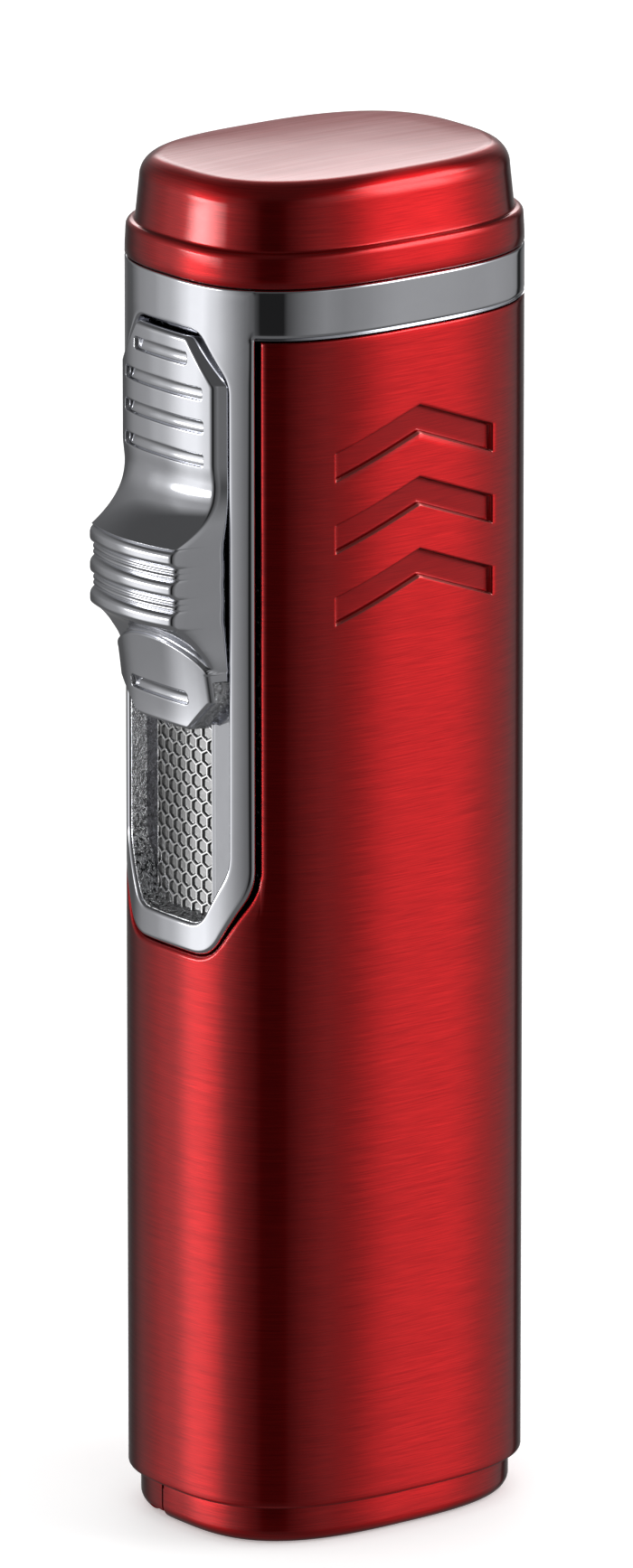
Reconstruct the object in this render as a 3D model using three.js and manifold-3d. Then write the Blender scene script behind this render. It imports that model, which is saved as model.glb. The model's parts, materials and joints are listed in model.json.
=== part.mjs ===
// Pocket jet lighter: oval case, thumb slider on the front (-Y), lid hinged at the back (+Y).
// Millimetres, +Z up, origin at the centre of the underside.
import * as THREE from 'three';
import { mergeVertices } from 'three/addons/utils/BufferGeometryUtils.js';
import Module from 'manifold-3d';

const wasm = await Module();
wasm.setup();

// ---- Driving dimensions ----
const HALF_WIDTH = 12;            // along Y, front to back
const HALF_DEPTH = 9.25;          // along X, one broad face to the other
const OVAL_POWER = 2.8;           // roundness of the oval: 2 is an ellipse
const OVAL_STEPS = 48;
const WALL = 0.8;
const GAP = 0.3;                  // between neighbouring pieces

const FOOT_INSET = 0.7;
const FOOT_ROUND = 0.9;
const FOOT_TOP = 2.42;            // just clear of the shell's lower rim
const SHELL_BOTTOM = 2.5;
const SHELL_TOP = 75.6;
const COLLAR_TOP = 78.77;
const LID_BOTTOM = COLLAR_TOP + 0.08;
const LID_LEDGE = 81.1;
const LID_TOP = 85.2;
const LID_ROUND = 1.45;
const LID_WALL = 1.4;
const DOME_INSET = 0.6;

const BEZEL = { half: 6.4, shoulder: 41.6, footHalf: 3.7, foot: 37.1 };
const BEZEL_WALL = 1.2;
const RECESS = {
  half: 5.06,
  shoulder: 42.7,
  footHalf: 3,
  foot: 38.95,
  high: 72.9,
  topHalf: 2.95,
  top: 75.85,
};
const FLOOR_Y = -10.7;            // floor of the slider recess
const TRACK_BACK_Y = -9.9;
const PANEL = { half: 2.7, low: 38, high: 52, sunk: 0.3 };
const TRACK_SLOT = { half: 1.7, low: 54, high: 74.5 };

const CHEVRON = { top: 70.85, pitch: 4.45, height: 1.85, drop: 2.2, left: -5.9, apex: 0.15, right: 6.1 };
const CHEVRON_DEPTH = 0.4;

// the slider's travel is 10 mm down from the rest position drawn here
const SLIDER = {
  half: 4.86,
  low: 51.1,
  shoulder: 53.2,
  lowHalf: 2.85,
  high: 72.7,
  topHalf: 2.8,
  top: 75.6,
};
const SLIDER_BACK_Y = -10.95;
const PAD_PROUD = 0.7;            // how far the pad stands out of the oval
const GROOVE_DEPTH = 0.3;
const GROOVES = [
  { z: 74.2, half: 2.6, height: 0.8 },
  { z: 72.2, half: 3.8, height: 0.8 },
  { z: 70.15, half: 3.9, height: 0.8 },
  { z: 68.1, half: 3.9, height: 0.8 },
  { z: 53.2, half: 2.8, height: 0.9 },
];
const CARRIAGE_SCREW_Z = 69.5;
const CARRIAGE = { half: 4.6, low: 60.6, high: 73.6, frontY: -9.6, backY: -7.2 };
const PUSH_ARM = { low: 62.2, high: 65, tipY: -0.8, half: 2.2 };

const HINGE = { y: 10.9, z: 78.9, knuckle: 1.1, relief: 1.75, pin: 0.4 };
const HINGE_MIDDLE = 2.4;         // half length of the collar's knuckle
const HINGE_END = 5.8;            // half length of the lid's relief in the collar
const TANK_TOP = 34;
const BURNER_Y = 1.6;
const PIEZO_Y = -3.6;
const VALVE_Y = 6;
const LEVER = { y: 1.2, z: 47.4, half: 2.2 };
const SPRING_X = 4.4;
const SPRING_Y = -7.9;
const SPRING_LOW = 37.6;
const PIEZO_TOP = 48;
const PLUNGER_TOP = 56;
const DECK = { low: 76.7, high: 78.1 };
const BURNER = { foot: 62, cup: 68, low: 69.6, top: 80.6, radius: 3.4, neck: 2.1, inlet: 0.85 };
const CHASSIS_TOP = 72.4;
const CHASSIS_WALL_X = 6.75;      // inner side of the chassis's two walls
const CHASSIS_FLOOR = TANK_TOP + 3.4;
const TANK_FLOOR = 6.4;
const TANK_WALL = 1;
const ADJUSTER = { x: 3.6, y: 4.2 };
const REFILL = { x: 3.6, y: -3.9 };
const PUNCH = { x: -4.9, y: -3.6, radius: 2.6, top: 8.4 };
const PUNCH_HINGE = { y: 9.7, z: 1.1 };
const BASE_SCREW = { x: 3.0, y: 8.3 };
const ARM_EDGE_X = -1.75;         // the arm's inner side
const BASE_EDGE_X = -1.45;        // the fixed foot's inner side

// ---- Shapes ----
function ovalPoint(inset, angle) {
  const bend = 2 / OVAL_POWER;
  const c = Math.cos(angle);
  const s = Math.sin(angle);
  const x = Math.sign(c) * Math.abs(c) ** bend * (HALF_DEPTH - inset);
  const y = Math.sign(s) * Math.abs(s) ** bend * (HALF_WIDTH - inset);
  return new THREE.Vector2(x, y);
}

function ovalShape(inset) {
  const points = [];
  for (let i = 0; i < OVAL_STEPS; i += 1) {
    points.push(ovalPoint(inset, (2 * Math.PI * i) / OVAL_STEPS));
  }
  return new THREE.Shape(points);
}

function shapeOf(pairs) {
  return new THREE.Shape(pairs.map(([a, b]) => new THREE.Vector2(a, b)));
}

// ---- Solids ----
function solid(geometry) {
  const bare = geometry.index ? geometry.toNonIndexed() : geometry.clone();
  bare.deleteAttribute('normal');
  bare.deleteAttribute('uv');
  const merged = mergeVertices(bare, 1e-5);
  return new wasm.Manifold(new wasm.Mesh({
    numProp: 3,
    vertProperties: new Float32Array(merged.attributes.position.array),
    triVerts: new Uint32Array(merged.index.array),
  }));
}

function extruded(shape, low, high, round = 0, steps = 3) {
  const geometry = new THREE.ExtrudeGeometry(shape, {
    depth: high - low - 2 * round,
    bevelEnabled: round > 0,
    bevelThickness: round,
    bevelSize: round,
    bevelOffset: -round,
    bevelSegments: steps,
    curveSegments: 8,
    steps: 1,
  });
  return geometry.translate(0, 0, low + round);
}

const prism = (shape, low, high) => solid(extruded(shape, low, high));

const ovalPrism = (inset, low, high) => prism(ovalShape(inset), low, high);

// a shape drawn in X and Z, pushed through along Y
function frontPrism(shape, low, high) {
  const geometry = extruded(shape, 0, high - low).rotateX(Math.PI / 2);
  return solid(geometry.translate(0, high, 0));
}

// a shape drawn in Y and Z, pushed through along X
function sidePrism(shape, low, high) {
  const turn = new THREE.Matrix4().makeBasis(
    new THREE.Vector3(0, 1, 0),
    new THREE.Vector3(0, 0, 1),
    new THREE.Vector3(1, 0, 0),
  );
  return solid(extruded(shape, low, high).applyMatrix4(turn));
}

function block(x, y, z) {
  const geometry = new THREE.BoxGeometry(x[1] - x[0], y[1] - y[0], z[1] - z[0]);
  return solid(geometry.translate((x[0] + x[1]) / 2, (y[0] + y[1]) / 2, (z[0] + z[1]) / 2));
}

function postGeometry(radius, x, y, low, high, sides = 20) {
  const geometry = new THREE.CylinderGeometry(radius, radius, high - low, sides);
  return geometry.rotateX(Math.PI / 2).translate(x, y, (low + high) / 2);
}

const post = (...size) => solid(postGeometry(...size));

// a hole whose flats clear a post of the same number of sides
const bore = (radius, x, y, low, high, sides = 20) =>
  post(radius / Math.cos(Math.PI / sides), x, y, low, high, sides);

function crossPinGeometry(radius, low, high, y, z, sides = 20) {
  const geometry = new THREE.CylinderGeometry(radius, radius, high - low, sides);
  return geometry.rotateZ(-Math.PI / 2).translate((low + high) / 2, y, z);
}

const crossPin = (...size) => solid(crossPinGeometry(...size));

const crossBore = (radius, low, high, y, z, sides = 20) =>
  crossPin(radius / Math.cos(Math.PI / sides), low, high, y, z, sides);

function lathed(profile, x, y, sides = 24) {
  const points = profile.map(([r, z]) => new THREE.Vector2(r, z));
  const geometry = new THREE.LatheGeometry(points, sides);
  return geometry.rotateX(Math.PI / 2).translate(x, y, 0);
}

function disc(radius, inner = 0) {
  const shape = new THREE.Shape();
  shape.absarc(0, 0, radius, 0, 2 * Math.PI, false);
  if (inner > 0) {
    const hole = new THREE.Path();
    hole.absarc(0, 0, inner, 0, 2 * Math.PI, true);
    shape.holes.push(hole);
  }
  return shape;
}

function tubeAlong(points, radius, inner, steps, sides) {
  const path = new THREE.CatmullRomCurve3(points.map((p) => new THREE.Vector3(...p)));
  return new THREE.ExtrudeGeometry(disc(radius, inner), {
    steps,
    curveSegments: sides,
    bevelEnabled: false,
    extrudePath: path,
  });
}

class Helix extends THREE.Curve {
  constructor(radius, low, high, turns) {
    super();
    Object.assign(this, { radius, low, high, turns });
  }

  getPoint(t, target = new THREE.Vector3()) {
    const angle = 2 * Math.PI * this.turns * t;
    const z = this.low + (this.high - this.low) * t;
    return target.set(this.radius * Math.cos(angle), this.radius * Math.sin(angle), z);
  }
}

function coil(radius, wire, low, high, turns) {
  const geometry = new THREE.ExtrudeGeometry(disc(wire), {
    steps: turns * 9,
    curveSegments: 2,
    bevelEnabled: false,
    extrudePath: new Helix(radius, low + wire * 1.2, high - wire * 1.2, turns),
  });
  return geometry;
}

// ---- Materials ----
const FINISHES = {
  red: [0xa3120f, 0.32, 0.85],
  chrome: [0xb9bcc2, 0.08, 1],
  steel: [0x9da1a6, 0.35, 1],
  brass: [0xb08d4a, 0.3, 1],
  black: [0x17171a, 0.5, 0],
  ceramic: [0xd9d2c4, 0.8, 0],
  clear: [0xc9cfc8, 0.3, 0],
  rubber: [0x202020, 0.9, 0],
};

const lighter = new THREE.Group();

function add(name, shape, finish) {
  let geometry = shape;
  if (!shape.isBufferGeometry) {
    const { numProp, vertProperties, triVerts } = shape.getMesh();
    const position = new Float32Array((vertProperties.length / numProp) * 3);
    for (let i = 0; i < position.length / 3; i += 1) {
      position.set(vertProperties.subarray(i * numProp, i * numProp + 3), i * 3);
    }
    geometry = new THREE.BufferGeometry();
    geometry.setAttribute('position', new THREE.BufferAttribute(position, 3));
    geometry.setIndex(new THREE.BufferAttribute(new Uint32Array(triVerts), 1));
  }
  const [color, roughness, metalness] = FINISHES[finish];
  const mesh = new THREE.Mesh(geometry, new THREE.MeshStandardMaterial({ color, roughness, metalness }));
  mesh.name = name;
  lighter.add(mesh);
}

// ---- Outlines on the front, in X and Z ----
function mirrored(half) {
  const left = half.map(([x, z]) => [-x, z]).reverse();
  return shapeOf([...half, ...left]);
}

const bezelOutline = (grow) => mirrored([
  [BEZEL.footHalf + grow * 0.4, BEZEL.foot - grow],
  [BEZEL.half + grow, BEZEL.shoulder - grow * 0.4],
  [BEZEL.half + grow, SHELL_TOP + 1],
]);

const recessOutline = (shrink) => mirrored([
  [RECESS.footHalf - shrink * 0.5, RECESS.foot + shrink],
  [RECESS.half - shrink, RECESS.shoulder + shrink * 0.5],
  [RECESS.half - shrink, RECESS.high - shrink * 0.5],
  [RECESS.topHalf - shrink * 0.5, RECESS.top - shrink],
]);

const sliderOutline = mirrored([
  [SLIDER.lowHalf, SLIDER.low],
  [SLIDER.half, SLIDER.shoulder],
  [SLIDER.half, SLIDER.high],
  [SLIDER.topHalf, SLIDER.top],
]);

// ---- Case ----
function chevrons() {
  const { top, pitch, height, drop, left, apex, right } = CHEVRON;
  const outline = (z) => shapeOf([
    [left, z - height - drop],
    [apex, z - height],
    [right, z - height - drop],
    [right, z - drop],
    [apex, z],
    [left, z - drop],
  ]);
  const reach = HALF_DEPTH + 1;
  const marks = [0, 1, 2].map((i) => sidePrism(outline(top - pitch * i), -reach, reach));
  return wasm.Manifold.union(marks).subtract(ovalPrism(CHEVRON_DEPTH, 50, 80));
}

function bodyShell() {
  const outer = solid(extruded(ovalShape(0), SHELL_BOTTOM, SHELL_TOP, 0.25, 2));
  return outer
    .subtract(ovalPrism(WALL, 0, 80))
    .subtract(frontPrism(bezelOutline(0.29), -14, 0))
    .subtract(chevrons());
}

function collarBezel() {
  const knuckle = crossPin(HINGE.knuckle, -HINGE_MIDDLE, HINGE_MIDDLE, HINGE.y, HINGE.z, 28)
    .intersect(ovalPrism(0, 70, 84));
  const rear = crossPin(HINGE.relief, HINGE_MIDDLE + 0.15, HINGE_END, HINGE.y, HINGE.z, 28);
  const rearLeft = crossPin(HINGE.relief, -HINGE_END, -HINGE_MIDDLE - 0.15, HINGE.y, HINGE.z, 28);
  const ring = ovalPrism(0, SHELL_TOP + 0.05, COLLAR_TOP)
    .add(ovalPrism(WALL + 0.1, 72.8, SHELL_TOP + 0.5))
    .subtract(ovalPrism(1.6, 70, 84));
  const bezel = ovalPrism(0, 36, SHELL_TOP + 0.1)
    .subtract(ovalPrism(BEZEL_WALL, 30, 80))
    .intersect(frontPrism(bezelOutline(0), -14, -5));
  const springRoom = crossBore(0.78, -1.5, 1.5, HINGE.y, HINGE.z);
  return ring
    .add(bezel)
    .add(knuckle)
    .subtract(frontPrism(recessOutline(0), -14, FLOOR_Y + 1.4))
    .subtract(rear)
    .subtract(rearLeft)
    .subtract(springRoom)
    .subtract(crossBore(HINGE.pin + 0.05, -8, 8, HINGE.y, HINGE.z));
}

function trackPlate() {
  const { half, low, high, sunk } = PANEL;
  const panel = block([-half, half], [FLOOR_Y - 1, FLOOR_Y + sunk], [low, high]);
  const slotX = [-TRACK_SLOT.half, TRACK_SLOT.half];
  const slot = block(slotX, [-12, -8], [TRACK_SLOT.low, TRACK_SLOT.high]);
  return frontPrism(recessOutline(0.08), FLOOR_Y, TRACK_BACK_Y)
    .subtract(panel)
    .subtract(slot);
}

// ---- Slider ----
// side view of the thumb rest, in Y and Z
const humpProfile = shapeOf([
  [SLIDER_BACK_Y, 55.4],
  [-12.35, 55.4],
  [-12.95, 56.4],
  [-13.9, 57.1],
  [-14.9, 57.7],
  [-15.35, 58.4],
  [-15.45, 60.6],
  [-15.35, 62.6],
  [-14.9, 63.1],
  [-13.9, 63.7],
  [-13.1, 64.7],
  [-12.65, 66.0],
  [-12.5, 67.6],
  [SLIDER_BACK_Y, 67.6],
]);

// the thumb rest seen from above, its sides drafted and its front bowed
function humpPlan() {
  const topHalf = 4.25;
  const shape = new THREE.Shape();
  shape.moveTo(SLIDER.half, SLIDER_BACK_Y);
  shape.lineTo(4.7, -12);
  shape.lineTo(topHalf, -14.65);
  shape.quadraticCurveTo(0, -16.25, -topHalf, -14.65);
  shape.lineTo(-4.7, -12);
  shape.lineTo(-SLIDER.half, SLIDER_BACK_Y);
  return shape;
}

function sliderGrooves() {
  const slots = GROOVES.map(({ z, half, height }) =>
    block([-half, half], [-14, SLIDER_BACK_Y], [z - height / 2, z + height / 2]));
  return wasm.Manifold.union(slots).subtract(ovalPrism(GROOVE_DEPTH - PAD_PROUD, 45, 80));
}

function sliderButton() {
  const pad = ovalPrism(-PAD_PROUD, 45, 80).intersect(block([-6, 6], [-14, SLIDER_BACK_Y], [48, 78]));
  const hump = sidePrism(humpProfile, -6, 6).intersect(prism(humpPlan(), 50, 70));
  const leg = block([-1.3, 1.3], [-11.5, CARRIAGE.frontY - 0.1], [66, 73]);
  const screwHole = post(0.55, 0, 0, -1.6, 1.6, 12).rotate([90, 0, 0]);
  return pad
    .subtract(sliderGrooves())
    .add(hump)
    .intersect(frontPrism(sliderOutline, -18, -5))
    .add(leg)
    .subtract(screwHole.translate([0, -9.4, CARRIAGE_SCREW_Z]));
}

function sliderCarriage() {
  const { half, low, high, frontY, backY } = CARRIAGE;
  const plate = block([-half, half], [frontY, backY], [low, high]);
  const springSeat = block([SPRING_X - 1.6, SPRING_X + 0.9], [frontY + GAP, -6.6], [low, low + 1.4]);
  const armX = [-PUSH_ARM.half, PUSH_ARM.half];
  const arm = block(armX, [backY - 0.1, PUSH_ARM.tipY], [PUSH_ARM.low, PUSH_ARM.high]);
  const gusset = block([-0.6, 0.6], [backY - 0.1, -4], [PUSH_ARM.high - 0.5, 68]);
  const screwHole = bore(0.6, 0, 0, -3, 3, 12).rotate([90, 0, 0]);
  const headRoom = bore(1.25, 0, 0, -0.5, 0.5, 12).rotate([90, 0, 0]);
  return plate
    .add(springSeat)
    .add(arm)
    .add(gusset)
    .subtract(screwHole.translate([0, -7.5, CARRIAGE_SCREW_Z]))
    .subtract(headRoom.translate([0, backY - 0.1, CARRIAGE_SCREW_Z]));
}

function carriageScrew() {
  const shank = post(0.5, 0, 0, -1.7, 1.6, 12);
  const head = post(1.15, 0, 0, -2.1, -1.55, 12);
  const slot = block([-1.5, 1.5], [-0.15, 0.15], [-2.5, -1.8]);
  return shank.add(head).subtract(slot).rotate([90, 0, 0]).translate([0, -9.3, CARRIAGE_SCREW_Z]);
}

// ---- Lid ----
function lidRelief() {
  const middle = crossPin(HINGE.relief, -HINGE_MIDDLE - 0.15, HINGE_MIDDLE + 0.15, HINGE.y, HINGE.z, 28);
  return middle.add(crossBore(HINGE.pin + 0.05, -4.5, 4.5, HINGE.y, HINGE.z));
}

function lidCap() {
  const flange = solid(extruded(ovalShape(0), LID_BOTTOM, LID_LEDGE, 0.3, 2));
  const dome = solid(extruded(ovalShape(DOME_INSET), LID_LEDGE - 1.5, LID_TOP, LID_ROUND, 5));
  const hollow = solid(extruded(ovalShape(LID_WALL), LID_BOTTOM - 3, LID_TOP - 0.9, 1, 2));
  const keep = ovalPrism(0, 70, 90);
  const knuckles = crossPin(HINGE.knuckle, HINGE_MIDDLE + 0.3, HINGE_END - 0.3, HINGE.y, HINGE.z, 28)
    .add(crossPin(HINGE.knuckle, 0.3 - HINGE_END, -HINGE_MIDDLE - 0.3, HINGE.y, HINGE.z, 28))
    .intersect(keep);
  return flange.add(dome).subtract(hollow).add(knuckles).subtract(lidRelief());
}

function lidLiner() {
  const cup = ovalPrism(1.7, LID_BOTTOM + 0.4, LID_TOP - 1.3);
  const room = ovalPrism(2.5, LID_BOTTOM - 1, LID_TOP - 2);
  const rear = block([-8, 8], [8.4, 14], [70, 90]);
  const flameSeat = post(4.2, 0, BURNER_Y, 82.4, LID_TOP - 1.9, 24)
    .subtract(post(3.5, 0, BURNER_Y, 80, 83, 24));
  return cup.subtract(room).add(flameSeat).subtract(rear);
}

// ---- Inner works ----
function chassis() {
  const outer = ovalPrism(WALL + GAP, TANK_TOP + 1.9, CHASSIS_TOP);
  const walls = outer
    .subtract(block([-CHASSIS_WALL_X, CHASSIS_WALL_X], [-20, 20], [CHASSIS_FLOOR, 90]))
    .subtract(block([-20, 20], [-20, -5.5], [CHASSIS_FLOOR, 90]))
    .subtract(block([-20, 20], [5.5, 20], [CHASSIS_FLOOR, 90]));
  const shelf = outer.intersect(block([-9, 9], [0, 5.2], [63.2, 64.8]));
  const leverEars = outer.intersect(block([-9, 9], [-0.3, 2.7], [45.4, 48.8]));
  return walls
    .add(shelf)
    .add(leverEars)
    .subtract(block([-20, 20], [-20, -9.55], [30, 90]))
    .subtract(block([-2.5, 2.5], [-3, 5], [44, 50]))
    .subtract(block([-2.4, 2.4], [PIEZO_Y - 3.1, PIEZO_Y + 2.6], [30, 40]))
    .subtract(bore(2.3, 0, VALVE_Y, 30, 40))
    .subtract(post(1.4, 0, BURNER_Y, 60, 70))
    .subtract(crossBore(0.55, -5.4, 5.4, LEVER.y, LEVER.z, 12));
}

function topDeck() {
  return ovalPrism(1.7, DECK.low, DECK.high)
    .subtract(post(3.75, 0, BURNER_Y, 70, 90, 28))
    .subtract(crossPin(HINGE.relief, -9, 9, HINGE.y, HINGE.z, 28))
    .subtract(block([-9, 9], [8.9, 14], [DECK.low - 1, DECK.high + 1]))
    .subtract(post(0.75, 0, -4.9, 70, 90, 12));
}

function burnerTube() {
  const { foot, cup, low, top, radius, neck, inlet } = BURNER;
  const rim = radius - 0.65;
  return solid(lathed([
    [0, foot],
    [inlet, foot],
    [inlet, 64.9],
    [neck, 64.9],
    [neck, cup],
    [radius, low],
    [radius, top],
    [rim, top],
    [rim, top - 1.2],
    [0, top - 1.2],
  ], 0, BURNER_Y, 28));
}

function jetDisc() {
  const plate = post(2.65, 0, BURNER_Y, 79.45, 80.15, 24);
  const holes = [0, 1, 2, 3, 4, 5].map((i) => {
    const angle = (i * Math.PI) / 3;
    return post(0.28, 1.6 * Math.cos(angle), BURNER_Y + 1.6 * Math.sin(angle), 79, 81, 8);
  });
  holes.push(post(0.75, 0, BURNER_Y, 79, 81, 12));
  return plate.subtract(wasm.Manifold.union(holes));
}

function piezoBody() {
  return block([-2.1, 2.1], [PIEZO_Y - 2.8, PIEZO_Y + 2.1], [TANK_TOP + 2.1, PIEZO_TOP])
    .subtract(bore(1.3, 0, PIEZO_Y, 38.5, PIEZO_TOP + 1, 16));
}

const piezoPlunger = () => post(1.2, 0, PIEZO_Y, 43, PLUNGER_TOP - 1.8, 16)
  .add(post(1.9, 0, PIEZO_Y, PLUNGER_TOP - 2, PLUNGER_TOP, 20));

function outletValveBody() {
  const side = crossPin(0.8, 1, 4.6, VALVE_Y, 40.5, 12);
  return post(2.1, 0, VALVE_Y, TANK_TOP + 0.3, 43.6)
    .add(post(1.5, 0, VALVE_Y, 43.5, 45.2))
    .add(side)
    .subtract(bore(0.9, 0, VALVE_Y, 41, 50, 16));
}

const valveStem = () => post(0.8, 0, VALVE_Y, 42, 49.6, 16).add(post(1.6, 0, VALVE_Y, 48.1, 48.9, 16));

function gasLever() {
  const plate = block([-LEVER.half, LEVER.half], [-1.1, 7.4], [LEVER.z - 0.4, LEVER.z + 0.4]);
  const barrel = crossPin(1.1, -LEVER.half, LEVER.half, LEVER.y, LEVER.z, 16);
  return plate
    .add(barrel)
    .subtract(block([-1.15, 1.15], [4.4, 9], [46, 49]))
    .subtract(crossBore(0.55, -3, 3, LEVER.y, LEVER.z, 12));
}

const electrodePath = [
  [0, -4.9, 70],
  [0, -4.9, 75],
  [0, -4.9, 79.6],
  [0, -4.5, 80.9],
  [0, -3.4, 81.5],
  [0, -1.6, 81.6],
];

const wirePath = [
  [2.9, -4, 40],
  [4.4, -3.6, 44],
  [5.4, -3.2, 52],
  [5.4, -3.2, 62],
  [5.0, -3.8, 70],
  [2.5, -4.6, 75.2],
  [0.9, -4.9, 75.6],
];

const hosePath = [
  [4.75, VALVE_Y, 40.5],
  [5.2, VALVE_Y, 40.5],
  [5.7, VALVE_Y, 42.5],
  [5.5, VALVE_Y, 50],
  [4.2, 5, 57],
  [1.2, 2.6, 59.4],
  [0, BURNER_Y, 60.6],
  [0, BURNER_Y, BURNER.foot - 0.1],
];

// ---- Tank and base ----
const tankHoles = () => [
  bore(2.1, ADJUSTER.x, ADJUSTER.y, 0, 8.2),
  bore(2.1, REFILL.x, REFILL.y, 0, 12.6),
];

function fuelTank() {
  const outer = ovalPrism(WALL + GAP, 5.2, TANK_TOP - 0.5);
  const inner = ovalPrism(WALL + GAP + TANK_WALL, TANK_FLOOR, TANK_TOP + 1);
  const bosses = post(3, ADJUSTER.x, ADJUSTER.y, 5.3, 9.2).add(post(3, REFILL.x, REFILL.y, 5.3, 13.6));
  const pocketWall = block([-9, -1.2], [-9.6, 0.6], [5.3, 10]).intersect(outer);
  const pocket = block([-8.6, -1.9], [-8.9, -0.2], [4, 9.2]).intersect(ovalPrism(WALL + GAP, 0, 12));
  const screwBosses = [-1, 1].map((side) => post(1.5, BASE_SCREW.x, side * BASE_SCREW.y, 5.3, 9));
  const screwHoles = [-1, 1].map((side) => bore(0.65, BASE_SCREW.x, side * BASE_SCREW.y, 4, 8.4, 12));
  return outer
    .subtract(inner)
    .add(wasm.Manifold.union([bosses, pocketWall, ...screwBosses]))
    .subtract(wasm.Manifold.union([pocket, ...tankHoles(), ...screwHoles]))
    .subtract(bore(0.5, REFILL.x, REFILL.y, 10, 16, 12));
}

const tankGasket = () => ovalPrism(WALL + GAP, TANK_TOP - 0.45, TANK_TOP)
  .subtract(ovalPrism(WALL + GAP + TANK_WALL, 30, 40));

function tankLid() {
  return ovalPrism(WALL + GAP, TANK_TOP + 0.05, TANK_TOP + 1.8)
    .add(ovalPrism(WALL + GAP + TANK_WALL + 0.15, TANK_TOP - 1.6, TANK_TOP + 0.5))
    .subtract(ovalPrism(WALL + GAP + TANK_WALL + 1.2, TANK_TOP - 3, TANK_TOP + 0.1))
    .subtract(bore(2.15, 0, VALVE_Y, 30, 40));
}

// the whole foot's outline, its lower rim rounded, up to a height
function footPlan(height) {
  return solid(extruded(ovalShape(FOOT_INSET), 0, 6, FOOT_ROUND, 4))
    .intersect(block([-10, 10], [-14, 14], [-1, height]));
}

function baseCap() {
  const plug = ovalPrism(WALL + GAP, SHELL_BOTTOM + 0.3, 5.0);
  const foot = footPlan(FOOT_TOP)
    .add(ovalPrism(WALL + GAP, FOOT_TOP - 0.2, SHELL_BOTTOM + 0.6))
    .intersect(block([BASE_EDGE_X, 10], [-14, 14], [0, 4]));
  const pocket = block([-8.6, -1.9], [-8.9, -0.2], [2, 6]);
  const screws = [-BASE_SCREW.y, BASE_SCREW.y].map((y) => bore(0.7, BASE_SCREW.x, y, 0, 6, 12)
    .add(bore(1.4, BASE_SCREW.x, y, -1, 1.3, 16)));
  const ear = crossBore(0.5, BASE_EDGE_X - 1, 1.5, PUNCH_HINGE.y, PUNCH_HINGE.z, 12);
  return plug
    .add(foot)
    .subtract(pocket)
    .subtract(wasm.Manifold.union([...screws, ...tankHoles(), ear]));
}

function baseScrew(y) {
  const { x } = BASE_SCREW;
  const head = post(1.3, x, y, 0.35, 1.25, 16);
  const slot = block([x - 1.5, x + 1.5], [y - 0.17, y + 0.17], [0, 0.7]);
  return head.add(post(0.6, x, y, 1.2, 7.8, 12)).subtract(slot);
}

function punchArm() {
  const height = 2 * PUNCH_HINGE.z;
  const plan = footPlan(height)
    .intersect(block([-10, ARM_EDGE_X], [-14, PUNCH_HINGE.y], [-1, 4]));
  const roundEnd = crossPin(PUNCH_HINGE.z, -6.3, ARM_EDGE_X, PUNCH_HINGE.y, PUNCH_HINGE.z, 20)
    .intersect(footPlan(height));
  const notch = crossPin(0.7, ARM_EDGE_X - 1.6, ARM_EDGE_X + 1, -10.9, -0.15, 12);
  return plan
    .add(roundEnd)
    .subtract(notch)
    .subtract(post(0.9, PUNCH.x, PUNCH.y, -1, 4, 16))
    .subtract(crossBore(0.5, -4.8, 0, PUNCH_HINGE.y, PUNCH_HINGE.z, 12));
}

function punchTube() {
  const { radius } = PUNCH;
  const foot = 2 * PUNCH_HINGE.z + 0.02;
  return solid(lathed([
    [1, foot],
    [radius + 0.1, foot],
    [radius + 0.1, foot + 0.8],
    [radius, foot + 0.9],
    [radius, PUNCH.top - 0.9],
    [radius - 0.35, PUNCH.top],
    [radius - 0.45, PUNCH.top],
    [radius - 0.45, foot + 1],
    [1, foot + 1],
    [1, foot],
  ], PUNCH.x, PUNCH.y, 28));
}

function adjusterWheel() {
  const { x, y } = ADJUSTER;
  const stem = post(1.1, x, y, 2.8, 7.6, 16);
  const head = post(1.95, x, y, 0.5, 3, 20);
  const slot = block([x - 2.2, x + 2.2], [y - 0.25, y + 0.25], [0, 1.1]);
  return head.add(stem).subtract(slot);
}

function refillBody() {
  return solid(lathed([
    [0.75, 0.5],
    [1.95, 0.5],
    [1.95, 9.6],
    [1.2, 9.6],
    [1.2, 3.2],
    [0.75, 3.2],
    [0.75, 0.5],
  ], REFILL.x, REFILL.y, 20));
}

const refillStem = () => post(0.65, REFILL.x, REFILL.y, 0.8, 4.0, 16)
  .add(post(1.0, REFILL.x, REFILL.y, 3.6, 4.8, 16));

// ---- Assembly ----
add('body_shell', bodyShell(), 'red');
add('collar_bezel', collarBezel(), 'chrome');
add('track_plate', trackPlate(), 'chrome');
add('chassis', chassis(), 'black');
add('top_deck', topDeck(), 'black');

add('slider_button', sliderButton(), 'chrome');
add('slider_carriage', sliderCarriage(), 'black');
add('carriage_screw', carriageScrew(), 'steel');
const slideCoil = coil(0.9, 0.2, SPRING_LOW, CARRIAGE.low - 0.1, 11);
add('slider_spring', slideCoil.translate(SPRING_X, SPRING_Y, 0), 'steel');

add('lid_cap', lidCap(), 'red');
add('lid_liner', lidLiner(), 'steel');
add('lid_hinge_pin', crossPinGeometry(HINGE.pin, -4.3, 4.3, HINGE.y, HINGE.z), 'steel');
const lidCoil = coil(0.6, 0.1, -1.4, 1.4, 7).rotateY(Math.PI / 2);
add('lid_torsion_spring', lidCoil.translate(0, HINGE.y, HINGE.z), 'steel');

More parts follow.
